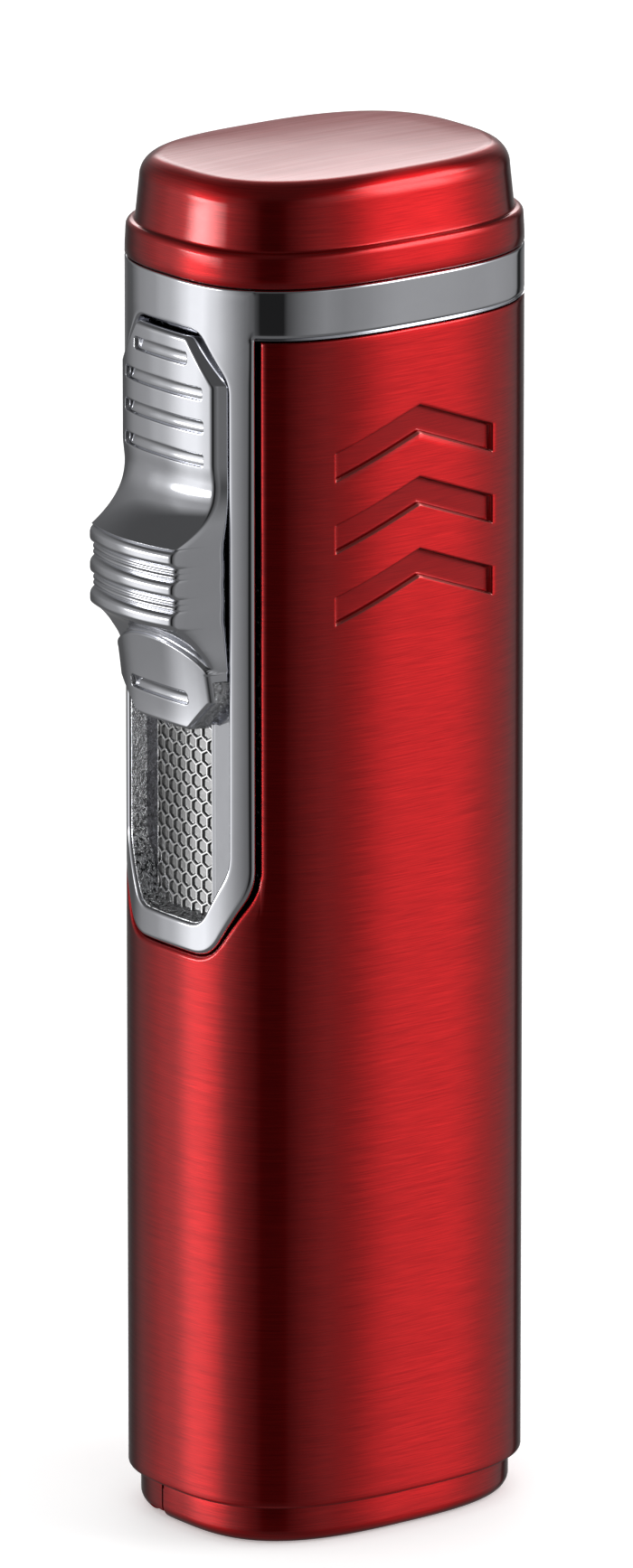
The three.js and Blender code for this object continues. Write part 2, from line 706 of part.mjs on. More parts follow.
add('burner_tube', burnerTube(), 'steel');
add('jet_disc', jetDisc(), 'ceramic');
add('spark_electrode', tubeAlong(electrodePath, 0.32, 0, 14, 4), 'steel');
add('ignition_wire', tubeAlong(wirePath, 0.5, 0, 20, 4), 'rubber');
add('piezo_body', piezoBody(), 'black');
add('piezo_plunger', piezoPlunger(), 'ceramic');
const plungerCoil = coil(1.6, 0.2, PIEZO_TOP + 0.05, PLUNGER_TOP - 2.05, 4);
add('plunger_spring', plungerCoil.translate(0, PIEZO_Y, 0), 'steel');
add('gas_lever', gasLever(), 'steel');
add('lever_pin', crossPinGeometry(0.5, -5.0, 5.0, LEVER.y, LEVER.z, 12), 'steel');
add('outlet_valve_body', outletValveBody(), 'brass');
add('valve_stem', valveStem(), 'brass');
add('gas_hose', tubeAlong(hosePath, 0.95, 0.5, 22, 4), 'rubber');

add('fuel_tank', fuelTank(), 'clear');
add('tank_gasket', tankGasket(), 'rubber');
add('tank_lid', tankLid(), 'black');
add('flame_adjuster', adjusterWheel(), 'brass');
add('refill_valve_body', refillBody(), 'brass');
add('refill_stem', refillStem(), 'brass');
add('refill_spring', coil(0.75, 0.15, 4.85, 9.5, 5).translate(REFILL.x, REFILL.y, 0), 'steel');
add('base_cap', baseCap(), 'red');
add('base_screw_front', baseScrew(-BASE_SCREW.y), 'steel');
add('base_screw_rear', baseScrew(BASE_SCREW.y), 'steel');
add('punch_arm', punchArm(), 'red');
add('punch_tube', punchTube(), 'steel');
add('punch_pin', crossPinGeometry(0.42, -4.6, 1.3, PUNCH_HINGE.y, PUNCH_HINGE.z, 12), 'steel');

export default lighter;
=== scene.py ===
"""Looks of the pocket jet lighter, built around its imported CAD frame.

Metres, the frame of the part: +Z up, -Y front (slider side), +X a broad face.
Helper shapes are drawn in millimetres and scaled once, when a mesh is made.
"""
import json
import math

import bmesh
import bpy
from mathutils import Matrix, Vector

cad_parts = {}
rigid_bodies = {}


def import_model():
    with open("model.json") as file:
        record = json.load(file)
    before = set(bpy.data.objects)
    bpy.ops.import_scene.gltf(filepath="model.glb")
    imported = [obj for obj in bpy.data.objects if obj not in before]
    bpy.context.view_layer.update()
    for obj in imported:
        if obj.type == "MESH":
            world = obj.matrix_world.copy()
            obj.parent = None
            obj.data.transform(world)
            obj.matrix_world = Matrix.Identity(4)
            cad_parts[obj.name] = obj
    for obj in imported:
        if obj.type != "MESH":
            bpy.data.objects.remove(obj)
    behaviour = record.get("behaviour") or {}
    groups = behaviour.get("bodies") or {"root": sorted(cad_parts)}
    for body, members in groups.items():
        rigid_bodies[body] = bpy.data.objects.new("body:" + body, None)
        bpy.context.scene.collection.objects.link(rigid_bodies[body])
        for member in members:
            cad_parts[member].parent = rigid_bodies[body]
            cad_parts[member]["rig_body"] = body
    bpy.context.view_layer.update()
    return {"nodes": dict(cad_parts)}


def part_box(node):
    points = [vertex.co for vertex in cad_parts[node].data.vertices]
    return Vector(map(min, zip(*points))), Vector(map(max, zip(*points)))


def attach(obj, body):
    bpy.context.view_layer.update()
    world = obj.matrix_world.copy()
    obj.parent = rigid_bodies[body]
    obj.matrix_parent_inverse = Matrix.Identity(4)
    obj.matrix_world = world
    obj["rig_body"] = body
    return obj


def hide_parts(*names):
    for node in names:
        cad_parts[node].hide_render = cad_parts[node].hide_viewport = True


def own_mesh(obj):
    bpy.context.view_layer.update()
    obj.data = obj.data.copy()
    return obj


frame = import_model()

MM = 0.001


def box_mm(node):
    """A CAD node's lowest and highest corners, in millimetres."""
    low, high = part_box(node)
    return low / MM, high / MM


SHELL_LOW, SHELL_HIGH = box_mm("body_shell")
LID_HIGH = box_mm("lid_cap")[1]
TRACK_LOW, TRACK_HIGH = box_mm("track_plate")

HALF_X = SHELL_HIGH.x
HALF_Y = SHELL_HIGH.y
OVAL_POWER = 2.8
WALL = 0.8
# up to this y the oval's points are spaced by y, beyond it by x
SIDE_Y = 8.0
COLLAR_Z = (SHELL_HIGH.z, 78.77)
FLOOR_Y = TRACK_LOW.y


# ---------------------------------------------------------------- oval section
def oval_y(x, grow=0.0):
    """How far from the middle the oval's front and back run at x."""
    share = min(1.0, abs(x) / (HALF_X + grow))
    return (HALF_Y + grow) * (1 - share ** OVAL_POWER) ** (1 / OVAL_POWER)


def oval_x(y, grow=0.0):
    share = min(1.0, abs(y) / (HALF_Y + grow))
    return (HALF_X + grow) * (1 - share ** OVAL_POWER) ** (1 / OVAL_POWER)


def oval_point(angle, inset=0.0):
    """A point on the oval; angle 0 is +X and a quarter turn is +Y."""
    bend = 2 / OVAL_POWER
    c, s = math.cos(angle), math.sin(angle)
    x = math.copysign(abs(c) ** bend, c) * (HALF_X - inset)
    y = math.copysign(abs(s) ** bend, s) * (HALF_Y - inset)
    return x, y


def oval_normal(x, y, inset=0.0):
    power = OVAL_POWER - 1
    nx = math.copysign((abs(x) / (HALF_X - inset)) ** power / (HALF_X - inset), x)
    ny = math.copysign((abs(y) / (HALF_Y - inset)) ** power / (HALF_Y - inset), y)
    return Vector((nx, ny, 0)).normalized()


def even_oval(inset, count):
    """Points on the oval at even steps along its edge, starting at the front centre."""
    fine = 4000
    points = [Vector(oval_point(2 * math.pi * i / fine - math.pi / 2, inset)) for i in range(fine + 1)]
    lengths = [0.0]
    for a, b in zip(points, points[1:]):
        lengths.append(lengths[-1] + (b - a).length)
    out, j = [], 0
    for i in range(count):
        target = lengths[-1] * i / count
        while lengths[j + 1] < target:
            j += 1
        share = (target - lengths[j]) / (lengths[j + 1] - lengths[j])
        out.append(points[j].lerp(points[j + 1], share))
    return out


# ---------------------------------------------------------------- mesh helpers
def clamp(value, low=0.0, high=1.0):
    return max(low, min(high, value))


def smooth(value):
    value = clamp(value)
    return value * value * (3 - 2 * value)


def spread(low, high, step):
    count = max(1, round((high - low) / step))
    return [low + (high - low) * i / count for i in range(count + 1)]


class Skin:
    """Collects points in millimetres and faces, then makes one object in metres."""

    def __init__(self):
        self.bm = bmesh.new()
        self.mask = self.bm.verts.layers.float.new("recess")

    def point(self, x, y, z, recess=0.0):
        vert = self.bm.verts.new((x * MM, y * MM, z * MM))
        vert[self.mask] = recess
        return vert

    def face(self, *verts):
        distinct = list(dict.fromkeys(verts))
        if len(distinct) > 2:
            self.bm.faces.new(distinct)

    def grid(self, rows, closed=False):
        """Faces between rows of points of one length."""
        for low, high in zip(rows, rows[1:]):
            count = len(low)
            for i in range(count if closed else count - 1):
                j = (i + 1) % count
                self.face(low[i], low[j], high[j], high[i])

    def solid(self, rows):
        """A tube of rows, closed at both ends."""
        self.grid(rows, closed=True)
        self.face(*rows[0])
        self.face(*rows[-1])

    def clip(self, place, normal):
        """Cuts away all that lies beyond a plane."""
        everything = self.bm.verts[:] + self.bm.edges[:] + self.bm.faces[:]
        bmesh.ops.bisect_plane(self.bm, geom=everything, plane_co=Vector(place) * MM,
                               plane_no=normal, clear_outer=True)

    def flat_back(self, y):
        """Turns an open sheet into a plate whose back lies at y."""
        made = bmesh.ops.extrude_face_region(self.bm, geom=self.bm.faces[:])
        for vert in made["geom"]:
            if isinstance(vert, bmesh.types.BMVert):
                vert.co.y = y * MM

    def fan(self, ring, centre):
        for i, vert in enumerate(ring):
            self.face(vert, ring[(i + 1) % len(ring)], centre)

    def weld(self, distance=0.0005):
        bmesh.ops.remove_doubles(self.bm, verts=self.bm.verts, dist=distance * MM)

    def object(self, name, material):
        bmesh.ops.recalc_face_normals(self.bm, faces=self.bm.faces)
        mesh = bpy.data.meshes.new(name)
        self.bm.to_mesh(mesh)
        self.bm.free()
        mesh.shade_smooth()
        obj = bpy.data.objects.new(name, mesh)
        bpy.context.scene.collection.objects.link(obj)
        mesh.materials.append(material)
        return obj


def cut(obj, tool, operation="DIFFERENCE"):
    """A boolean that is applied at once; the tool is removed."""
    step = obj.modifiers.new("cut", "BOOLEAN")
    step.object = tool
    step.operation = operation
    step.solver = "EXACT"
    bake(obj)
    bpy.data.objects.remove(tool)


def shade_by_angle(obj, degrees=35):
    """Smooth faces, with the edges sharper than an angle kept sharp."""
    obj.data.shade_smooth()
    obj.data.set_sharp_from_angle(angle=math.radians(degrees))


def bake(obj):
    """Applies the object's modifiers to its mesh."""
    bpy.context.view_layer.update()
    graph = bpy.context.evaluated_depsgraph_get()
    made = bpy.data.meshes.new_from_object(obj.evaluated_get(graph))
    old = obj.data
    obj.modifiers.clear()
    obj.data = made
    made.name = obj.name
    bpy.data.meshes.remove(old)


def round_bar(name, places, middle_y, middle_z, material, sides=48, limit=None):
    """A closed bar along X through (x, radius) places; limit(x) is the furthest y it may reach."""
    skin = Skin()
    rows = []
    for x, radius in places:
        row = []
        for i in range(sides):
            angle = 2 * math.pi * i / sides
            y = middle_y + radius * math.cos(angle)
            if limit:
                y = min(y, limit(x))
            row.append(skin.point(x, y, middle_z + radius * math.sin(angle)))
        rows.append(row)
    skin.solid(rows)
    return skin.object(name, material)


def cross_pin(radius, low, high, y, z, material, sides=48):
    """A cylinder along X, as a tool."""
    return round_bar("tool", ((low, radius), (high, radius)), y, z, material, sides)


def prism(outline, low, high, material):
    """A closed upright tool with one outline between two heights."""
    skin = Skin()
    skin.solid([[skin.point(x, y, z) for x, y in outline] for z in (low, high)])
    return skin.object("tool", material)


# ---------------------------------------------------------------- node helpers
class Nodes:
    """Short calls for building a node tree."""

    def __init__(self, tree):
        self.tree = tree
        tree.nodes.clear()

    def add(self, kind, **values):
        node = self.tree.nodes.new(kind)
        for key, value in values.items():
            setattr(node, key, value)
        return node

    def link(self, source, target):
        self.tree.links.new(source, target)

    def feed(self, socket, value):
        if isinstance(value, bpy.types.NodeSocket):
            self.link(value, socket)
        else:
            socket.default_value = value

    def fill(self, sockets, values):
        for name, value in values.items():
            self.feed(sockets[name], value)

    def recess(self):
        """The mesh's recess mask, 0 to 1."""
        return self.add("ShaderNodeAttribute", attribute_name="recess").outputs["Fac"]

    def math(self, operation, *values):
        node = self.add("ShaderNodeMath", operation=operation)
        for socket, value in zip(node.inputs, values):
            self.feed(socket, value)
        return node.outputs[0]

    def mix(self, share, a, b):
        node = self.add("ShaderNodeMix", data_type="RGBA")
        self.feed(node.inputs[0], share)
        self.feed(node.inputs[6], a)
        self.feed(node.inputs[7], b)
        return node.outputs[2]

    def ramp(self, value, stops):
        node = self.add("ShaderNodeValToRGB")
        elements = node.color_ramp.elements
        for element, (place, level) in zip(elements, (stops[0], stops[-1])):
            element.position = place
            element.color = (level, level, level, 1)
        for place, level in stops[1:-1]:
            element = elements.new(place)
            element.color = (level, level, level, 1)
        self.link(value, node.inputs[0])
        return node.outputs[0]

    def stretch(self, vector, scale):
        node = self.add("ShaderNodeVectorMath", operation="MULTIPLY")
        self.link(vector, node.inputs[0])
        node.inputs[1].default_value = scale
        return node.outputs[0]

    def noise(self, vector, scale=1.0, detail=3.0, rough=0.5):
        node = self.add("ShaderNodeTexNoise")
        self.link(vector, node.inputs["Vector"])
        node.inputs["Scale"].default_value = scale
        node.inputs["Detail"].default_value = detail
        node.inputs["Roughness"].default_value = rough
        return node.outputs[0]

    def place(self):
        """Object coordinates in millimetres."""
        coords = self.add("ShaderNodeTexCoord")
        return self.stretch(coords.outputs["Object"], (1 / MM,) * 3)

    def range(self, value, low, high, new_low, new_high):
        node = self.add("ShaderNodeMapRange")
        for socket, number in zip(node.inputs, (value, low, high, new_low, new_high)):
            self.feed(socket, number)
        return node.outputs[0]

    def bump(self, height, distance, strength=1.0):
        node = self.add("ShaderNodeBump")
        node.inputs["Strength"].default_value = strength
        node.inputs["Distance"].default_value = distance * MM
        self.link(height, node.inputs["Height"])
        return node.outputs[0]


def new_material(name):
    material = bpy.data.materials.new(name)
    material.use_nodes = True
    nodes = Nodes(material.node_tree)
    shader = nodes.add("ShaderNodeBsdfPrincipled")
    output = nodes.add("ShaderNodeOutputMaterial")
    nodes.link(shader.outputs[0], output.inputs[0])
    return material, nodes, shader.inputs


# ---------------------------------------------------------------- materials
LACQUER_DARK, LACQUER_BRIGHT = (0.50, 0.006, 0.010, 1), (0.78, 0.016, 0.018, 1)
LACQUER_IN_RECESS = (0.22, 0.004, 0.007, 1)
LACQUER_SEEN_FLAT = (0.09, 0.001, 0.002, 1)
# a pale pink painted highlight for recess rims that face up or back
LACQUER_RIM_HIGHLIGHT = (1.0, 0.42, 0.38, 1)
CHROME_TINT = (0.79, 0.80, 0.845, 1)
# cast tones: a bright one, a dark one that is painted shadow on the track's channel floor, and the pits
CAST_BRIGHT, CAST_SHADOWED, CAST_PIT = (0.85, 0.86, 0.88, 1), (0.2, 0.2, 0.22, 1), (0.05, 0.05, 0.055, 1)
# between these heights the rough casting's dark pits thin out upwards; the pits are real grain, their thinning
# with height is painted shade
PIT_SHADE_LOW, PIT_SHADE_HIGH = 41.0, 48.0
# where a painted highlight shows on a recess's rim, by the recess mask
RIM_HIGHLIGHT_BY_DEPTH = ((0.0, 0.0), (0.06, 1.0), (0.5, 1.0), (0.65, 0.0), (1.0, 0.0))
# the honeycomb's painted light by depth: painted highlight on wall tops, painted shade on flanks, then cell
# floors
CELL_PAINTED_LIGHT = ((0.0, 1.0), (0.25, 0.9), (0.45, 0.12), (0.8, 0.14), (0.97, 0.36), (1.0, 0.46))
CELL_GREY = (0.5, 0.5, 0.52, 1)


def lacquer(name, brush, tangent_axis):
    """Translucent red lacquer over brushed metal; brush stretches the lines' noise."""
    material, nodes, shader = new_material(name)
    place = nodes.place()
    fine = nodes.noise(nodes.stretch(place, brush), 1.0, 4, 0.62)
    broad = nodes.noise(nodes.stretch(place, tuple(b * 0.23 for b in brush)), 1.0, 2, 0.5)
    cloud = nodes.noise(place, 0.35, 2, 0.5)
    recess = nodes.recess()
    tone = nodes.mix(nodes.range(fine, 0.3, 0.7, 0.0, 1.0), LACQUER_DARK, LACQUER_BRIGHT)
    tone = nodes.mix(nodes.math("MULTIPLY", recess, 0.3), tone, LACQUER_IN_RECESS)
    # a painted highlight where a rim faces up or back
    geometry = nodes.add("ShaderNodeNewGeometry")
    faces = nodes.add("ShaderNodeSeparateXYZ")
    nodes.link(geometry.outputs["Normal"], faces.inputs[0])
    lit = nodes.math("MAXIMUM", faces.outputs[2], faces.outputs[1])
    rim_highlight = nodes.math("MULTIPLY", nodes.ramp(recess, RIM_HIGHLIGHT_BY_DEPTH), nodes.range(lit, 0.25, 0.6, 0.0, 0.75))
    # the lacquer looks deeper where it is seen at a flat angle
    facing = nodes.add("ShaderNodeLayerWeight")
    facing.inputs["Blend"].default_value = 0.5
    depth = nodes.range(facing.outputs["Facing"], 0.45, 0.8, 0.0, 0.8)
    tone = nodes.mix(depth, tone, LACQUER_SEEN_FLAT)
    rough = nodes.math("ADD", nodes.range(broad, 0.3, 0.7, 0.31, 0.38), nodes.math("MULTIPLY", cloud, 0.04))
    tangent = nodes.add("ShaderNodeTangent", direction_type="RADIAL", axis=tangent_axis)
    speckle = nodes.noise(place, 9.0, 2, 0.6)
    height = nodes.math("ADD", nodes.math("MULTIPLY", fine, 0.5), nodes.math("MULTIPLY", recess, speckle))
    nodes.fill(shader, {
        "Base Color": nodes.mix(rim_highlight, tone, LACQUER_RIM_HIGHLIGHT),
        "Metallic": 1.0,
        "Roughness": nodes.math("ADD", rough, nodes.math("MULTIPLY", recess, 0.12)),
        "Anisotropic": nodes.math("SUBTRACT", 0.9, nodes.math("MULTIPLY", recess, 0.6)),
        "Anisotropic Rotation": 0.25,
        "Tangent": tangent.outputs[0],
        "Normal": nodes.bump(height, 0.012, 0.35),
        "Coat Weight": 0.72,
        "Coat Roughness": 0.07,
        "Coat IOR": 1.5,
        "Coat Normal": nodes.bump(nodes.noise(place, 0.9, 2, 0.5), 0.004, 0.6),
    })
    return material


def chrome(name, rough_low, rough_high, ripple, cast_tone=CAST_BRIGHT):
    """Polished chrome, left as rough glittering casting where the mesh's recess mask is 1."""
    material, nodes, shader = new_material(name)
    place = nodes.place()
    cloud = nodes.noise(place, 0.6, 3, 0.55)
    cast = nodes.recess()
    grain = nodes.noise(nodes.stretch(place, (1.0, 1.0, 0.8)), 4.6, 4, 0.75)
    level = nodes.add("ShaderNodeSeparateXYZ")
    nodes.link(place, level.inputs[0])
    # dark pits of the casting, heavier lower down; the fade with height is painted shade
    pit_shade = nodes.math("MULTIPLY", nodes.range(level.outputs[2], PIT_SHADE_LOW, PIT_SHADE_HIGH, 1.0, 0.4), cast)
    pits = nodes.math("MULTIPLY", nodes.range(grain, 0.42, 0.51, 1.0, 0.0), pit_shade)
    bright = nodes.mix(cloud, CHROME_TINT, tuple(c * 0.93 for c in CHROME_TINT[:3]) + (1,))
    bright = nodes.mix(cast, bright, cast_tone)
    rough = nodes.range(nodes.noise(place, 1.7, 3, 0.6), 0.3, 0.7, rough_low, rough_high)
    soft = nodes.math("MULTIPLY", nodes.noise(place, 0.8, 2, 0.4), ripple * 2)
    height = nodes.math("ADD", soft, nodes.math("MULTIPLY", grain, cast))
    nodes.fill(shader, {
        "Base Color": nodes.mix(pits, bright, CAST_PIT),
        "Metallic": 1.0,
        "Roughness": nodes.math("ADD", rough, nodes.math("MULTIPLY", cast, 0.14)),
        "Normal": nodes.bump(height, 0.22, 1.0),
    })
    return material


def honeycomb_chrome(name):
    """Wall tops with a painted highlight, flanks with painted shade and satin grey cell floors; the mask is
    the depth.
    """
    material, nodes, shader = new_material(name)
    place = nodes.place()
    # painted highlight and painted shade, by depth
    tone = nodes.ramp(nodes.recess(), CELL_PAINTED_LIGHT)
    cloud = nodes.math("MULTIPLY", nodes.noise(place, 2.5, 3, 0.6), 0.3)
    nodes.fill(shader, {
        "Base Color": nodes.mix(cloud, tone, CELL_GREY),
        "Metallic": 1.0,
        "Roughness": nodes.range(nodes.noise(place, 2.0, 3, 0.6), 0.3, 0.7, 0.10, 0.24),
        "Normal": nodes.bump(nodes.noise(place, 3.0, 3, 0.6), 0.02, 0.7),
    })
    return material


def satin_metal(name, color, rough, brush=(3, 3, 20)):
    """Plain metal with faint brushed lines."""
    material, nodes, shader = new_material(name)
    lines = nodes.noise(nodes.stretch(nodes.place(), brush), 1.0, 3, 0.6)
    dark = tuple(c * 0.72 for c in color) + (1,)
    nodes.fill(shader, {
        "Base Color": nodes.mix(lines, dark, tuple(color) + (1,)),
        "Metallic": 1.0,
        "Roughness": nodes.range(lines, 0.3, 0.7, rough * 0.8, rough * 1.25),
        "Anisotropic": 0.4,
        "Normal": nodes.bump(lines, 0.004, 0.6),
    })
    return material


def moulded(name, color, rough, grain=7.0, bump=0.01, clear=0.0):
    """Plastic, rubber or ceramic with a fine grain; clear lets light through."""
    material, nodes, shader = new_material(name)
    place = nodes.place()
    texture = nodes.noise(place, grain, 3, 0.6)
    cloud = nodes.noise(place, 0.5, 2, 0.5)
    pale = tuple(min(1.0, c * 1.25 + 0.004) for c in color) + (1,)
    nodes.fill(shader, {
        "Base Color": nodes.mix(cloud, tuple(color) + (1,), pale),
        "Roughness": nodes.range(texture, 0.3, 0.7, rough * 0.85, rough * 1.15),
        "Transmission Weight": clear,
        "Normal": nodes.bump(texture, bump, 0.5),
    })
    return material


RED_SIDE = lacquer("red_lacquer", (0.35, 0.35, 16.0), "Z")
RED_TOP = lacquer("red_lacquer_top", (16.0, 0.35, 2.0), "X")
CHROME = chrome("chrome", 0.015, 0.05, 0.002)
# its rough channel floor is darkened as painted shadow
TRACK_CHROME = chrome("track_chrome", 0.08, 0.16, 0.006, CAST_SHADOWED)
HEX_CHROME = honeycomb_chrome("honeycomb_chrome")
SLIDER_CHROME = chrome("slider_chrome", 0.07, 0.11, 0.002)
STEEL = satin_metal("steel", (0.56, 0.565, 0.58), 0.28)
SPRING_STEEL = satin_metal("spring_steel", (0.5, 0.5, 0.52), 0.22, (6, 6, 6))
BRASS = satin_metal("brass", (0.62, 0.43, 0.16), 0.26, (2, 2, 24))
BLACK = moulded("black_plastic", (0.012, 0.012, 0.014), 0.45)
CLEAR = moulded("milky_plastic", (0.66, 0.70, 0.68), 0.3, 3.0, 0.006, 0.35)
CERAMIC = moulded("ceramic", (0.62, 0.58, 0.5), 0.75, 5.0, 0.02)
RUBBER = moulded("rubber", (0.010, 0.010, 0.011), 0.7, 9.0, 0.012)


# ---------------------------------------------------------------- case
CHEVRON_TOP = 70.85
CHEVRON_PITCH = 4.45
CHEVRON_HEIGHT = 1.85
CHEVRON_RISE = 2.2
CHEVRON_MIDDLE = 0.15
CHEVRON_ENDS = (-5.9, 6.1)
CHEVRON_DEPTH = 0.4
# how a recess wall goes down: distance in from the edge, share of the depth
RECESS_WALL = ((0.0, 0.0), (0.035, 0.05), (0.08, 0.25), (0.14, 0.78), (0.19, 0.96), (0.25, 1.0))

CHEVRON_COUNT = 3
# rows run level below the first pair of heights and above the second, and hang like the chevrons between
SAG_FADE_IN, SAG_FADE_OUT = (48.0, 56.0), (71.2, 75.4)

SHELL_EDGE = 0.28
SHELL_FOOT_ROUND = 0.25
SHELL_RIM_ROUND = 0.14
# rows of points between the shell's foot and the cut-out
PLAIN_ROWS = 34
# steps in from an edge that carry its rounding
EDGE_STEPS = (0.0, 0.012, 0.04, 0.085, 0.15, 0.23, 0.34)

CUT_HALF = 6.69
CUT_FOOT_HALF = 3.8
CUT_FOOT_Z = 36.95
CUT_SHOULDER_Z = 41.45


def recess_share(distance):
    """Share of the full depth at a distance inside a recess's edge."""
    for (d0, s0), (d1, s1) in zip(RECESS_WALL, RECESS_WALL[1:]):
        if distance <= d1:
            return s0 + (s1 - s0) * clamp((distance - d0) / (d1 - d0))
    return 1.0


def with_walls(values, edges):
    """Adds the fine steps of each recess wall to a list of coordinates."""
    out = set(round(v, 4) for v in values)
    for place, direction in edges:
        for distance, _ in RECESS_WALL:
            out.add(round(place + direction * distance, 4))
    return sorted(out)


def chevron_sag(y):
    """How far the chevrons' rows hang below their apex at y, fading beyond the ends."""
    slope = CHEVRON_RISE / (CHEVRON_ENDS[1] - CHEVRON_MIDDLE)
    away = abs(y - CHEVRON_MIDDLE)
    limit = CHEVRON_ENDS[1] - CHEVRON_MIDDLE + 0.15
    fade = 1 - smooth((abs(y) - 6.4) / 3.0)
    return slope * min(away, limit) * fade


def shell_columns():
    """Points round the oval, from the cut-out's right edge back to its left edge."""
    ends = [(CHEVRON_ENDS[0], 1), (CHEVRON_ENDS[1], -1)]
    ys = with_walls(spread(-SIDE_Y, SIDE_Y, 0.5) + [CHEVRON_MIDDLE], ends)
    right = [(oval_x(y), y) for y in ys if abs(y) <= SIDE_Y]
    x_edge = oval_x(SIDE_Y)
    near = [CUT_HALF + d for d in EDGE_STEPS[:-1]]
    front = [(x, -oval_y(x)) for x in near + spread(CUT_HALF + EDGE_STEPS[-1], x_edge, 0.12)]
    back = [(x, oval_y(x)) for x in spread(0.0, x_edge, 0.3)]
    half = front[:-1] + right + back[::-1][1:]
    left = [(-x, y) for x, y in reversed(half[:-1])]
    return half + left


def shell_rows(start):
    """Heights of the shell's upper rows, as they lie where the chevrons do not bend them."""
    rim = [SHELL_HIGH.z - d for d in (SHELL_RIM_ROUND, 0.08, 0.04, 0.01)]
    rows = spread(start, 57.0, 1.0) + spread(57.0, 71.5, 0.5) + spread(71.5, SHELL_HIGH.z, 0.45) + rim
    edges = []
    for i in range(CHEVRON_COUNT):
        top = CHEVRON_TOP - CHEVRON_PITCH * i
        edges += [(top, -1), (top - CHEVRON_HEIGHT, 1)]
    return with_walls(rows, edges)


def chevron_depth(y, row):
    """Depth of the chevron recess where column y meets a row."""
    across = min(y - CHEVRON_ENDS[0], CHEVRON_ENDS[1] - y)
    if across <= 0:
        return 0.0
    for i in range(CHEVRON_COUNT):
        top = CHEVRON_TOP - CHEVRON_PITCH * i
        inside = min(top - row, row - (top - CHEVRON_HEIGHT))
        if inside > 0:
            return min(recess_share(across), recess_share(inside))
    return 0.0


def edge_drop(distance, radius):
    """How far a rounded edge falls back at a distance in from its rim."""
    if distance >= radius:
        return 0.0
    return radius - math.sqrt(max(0.0, radius ** 2 - (radius - distance) ** 2))


def distance_to(line, x, z):
    """Distance from a point to an open line of points."""
    best = 1e9
    for (ax, az), (bx, bz) in zip(line, line[1:]):
        dx, dz = bx - ax, bz - az
        t = clamp(((x - ax) * dx + (z - az) * dz) / max(1e-12, dx * dx + dz * dz))
        best = min(best, math.hypot(x - ax - dx * t, z - az - dz * t))
    return best


def rounded_line(corners, radii, steps=7):
    """An open line whose inner corners are replaced by small arcs."""
    out = [corners[0]]
    for before, here, after, radius in zip(corners, corners[1:], corners[2:], radii):
        here, before, after = Vector(here), Vector(before), Vector(after)
        a = here + (before - here).normalized() * radius
        b = here + (after - here).normalized() * radius
        for k in range(steps + 1):
            t = k / steps
            point = a * (1 - t) ** 2 + here * 2 * t * (1 - t) + b * t * t
            out.append((point.x, point.y))
    out.append(corners[-1])
    return out


def along(line, count):
    """Points at even steps along an open line."""
    lengths = [0.0]
    for (ax, az), (bx, bz) in zip(line, line[1:]):
        lengths.append(lengths[-1] + math.hypot(bx - ax, bz - az))
    out, j = [], 0
    for i in range(count + 1):
        target = lengths[-1] * i / count
        while j < len(line) - 2 and lengths[j + 1] < target:
            j += 1
        share = (target - lengths[j]) / max(1e-9, lengths[j + 1] - lengths[j])
        a, b = Vector(line[j]), Vector(line[j + 1])
        point = a.lerp(b, clamp(share))
        out.append((point.x, point.y))
    return out


def on_oval(skin, x, y, z, drop, recess=0.0):
    """A point of the oval wall, pushed in along its normal."""
    normal = oval_normal(x, y)
    return skin.point(x - normal.x * drop, y - normal.y * drop, z, recess)


def wall_in(skin, edge, drops, slide=None, recess=None):
    """Rows from an edge of the wall in; slide leans them and recess(x, z) marks them rough."""
    rows = []
    for drop in drops:
        row = []
        for x, y, z in edge:
            share = (drop - drops[0]) / (drops[-1] - drops[0])
            dx, dz = slide(x, z, share) if slide else (0.0, 0.0)
            mask = recess(x, z) if recess and drop > drops[0] else 0.0
            row.append(on_oval(skin, x + dx, -oval_y(x + dx) if slide else y, z + dz, drop, mask))
        rows.append(row)
    skin.grid(rows)


def cut_out_line():
    """The right half of the cut-out's edge from the middle of its foot, and its upper end."""
    corners = [(0, CUT_FOOT_Z), (CUT_FOOT_HALF, CUT_FOOT_Z)]
    corners += [(CUT_HALF, CUT_SHOULDER_Z), (CUT_HALF, CUT_SHOULDER_Z + 3)]
    half = rounded_line(corners, (1.3, 1.3))
    top = half[-2][1]
    half[-1] = (CUT_HALF, top)
    return half, top


def cut_out_tops(half):
    """Even steps along the cut-out's foot and chamfers, from left to right."""
    flat = [(x, CUT_FOOT_Z) for x in spread(half[0][0], half[1][0], 0.4)]
    right = flat[:-1] + half[1:]
    points = []
    for (ax, az), (bx, bz) in zip(right, right[1:]):
        steps = max(1, round(math.hypot(bx - ax, bz - az) / 0.4))
        points += [(ax + (bx - ax) * k / steps, az + (bz - az) * k / steps) for k in range(steps)]
    tops = [(x, z) for x, z in points if x < CUT_HALF - 1e-3]
    return [(-x, z) for x, z in reversed(tops[1:])] + tops


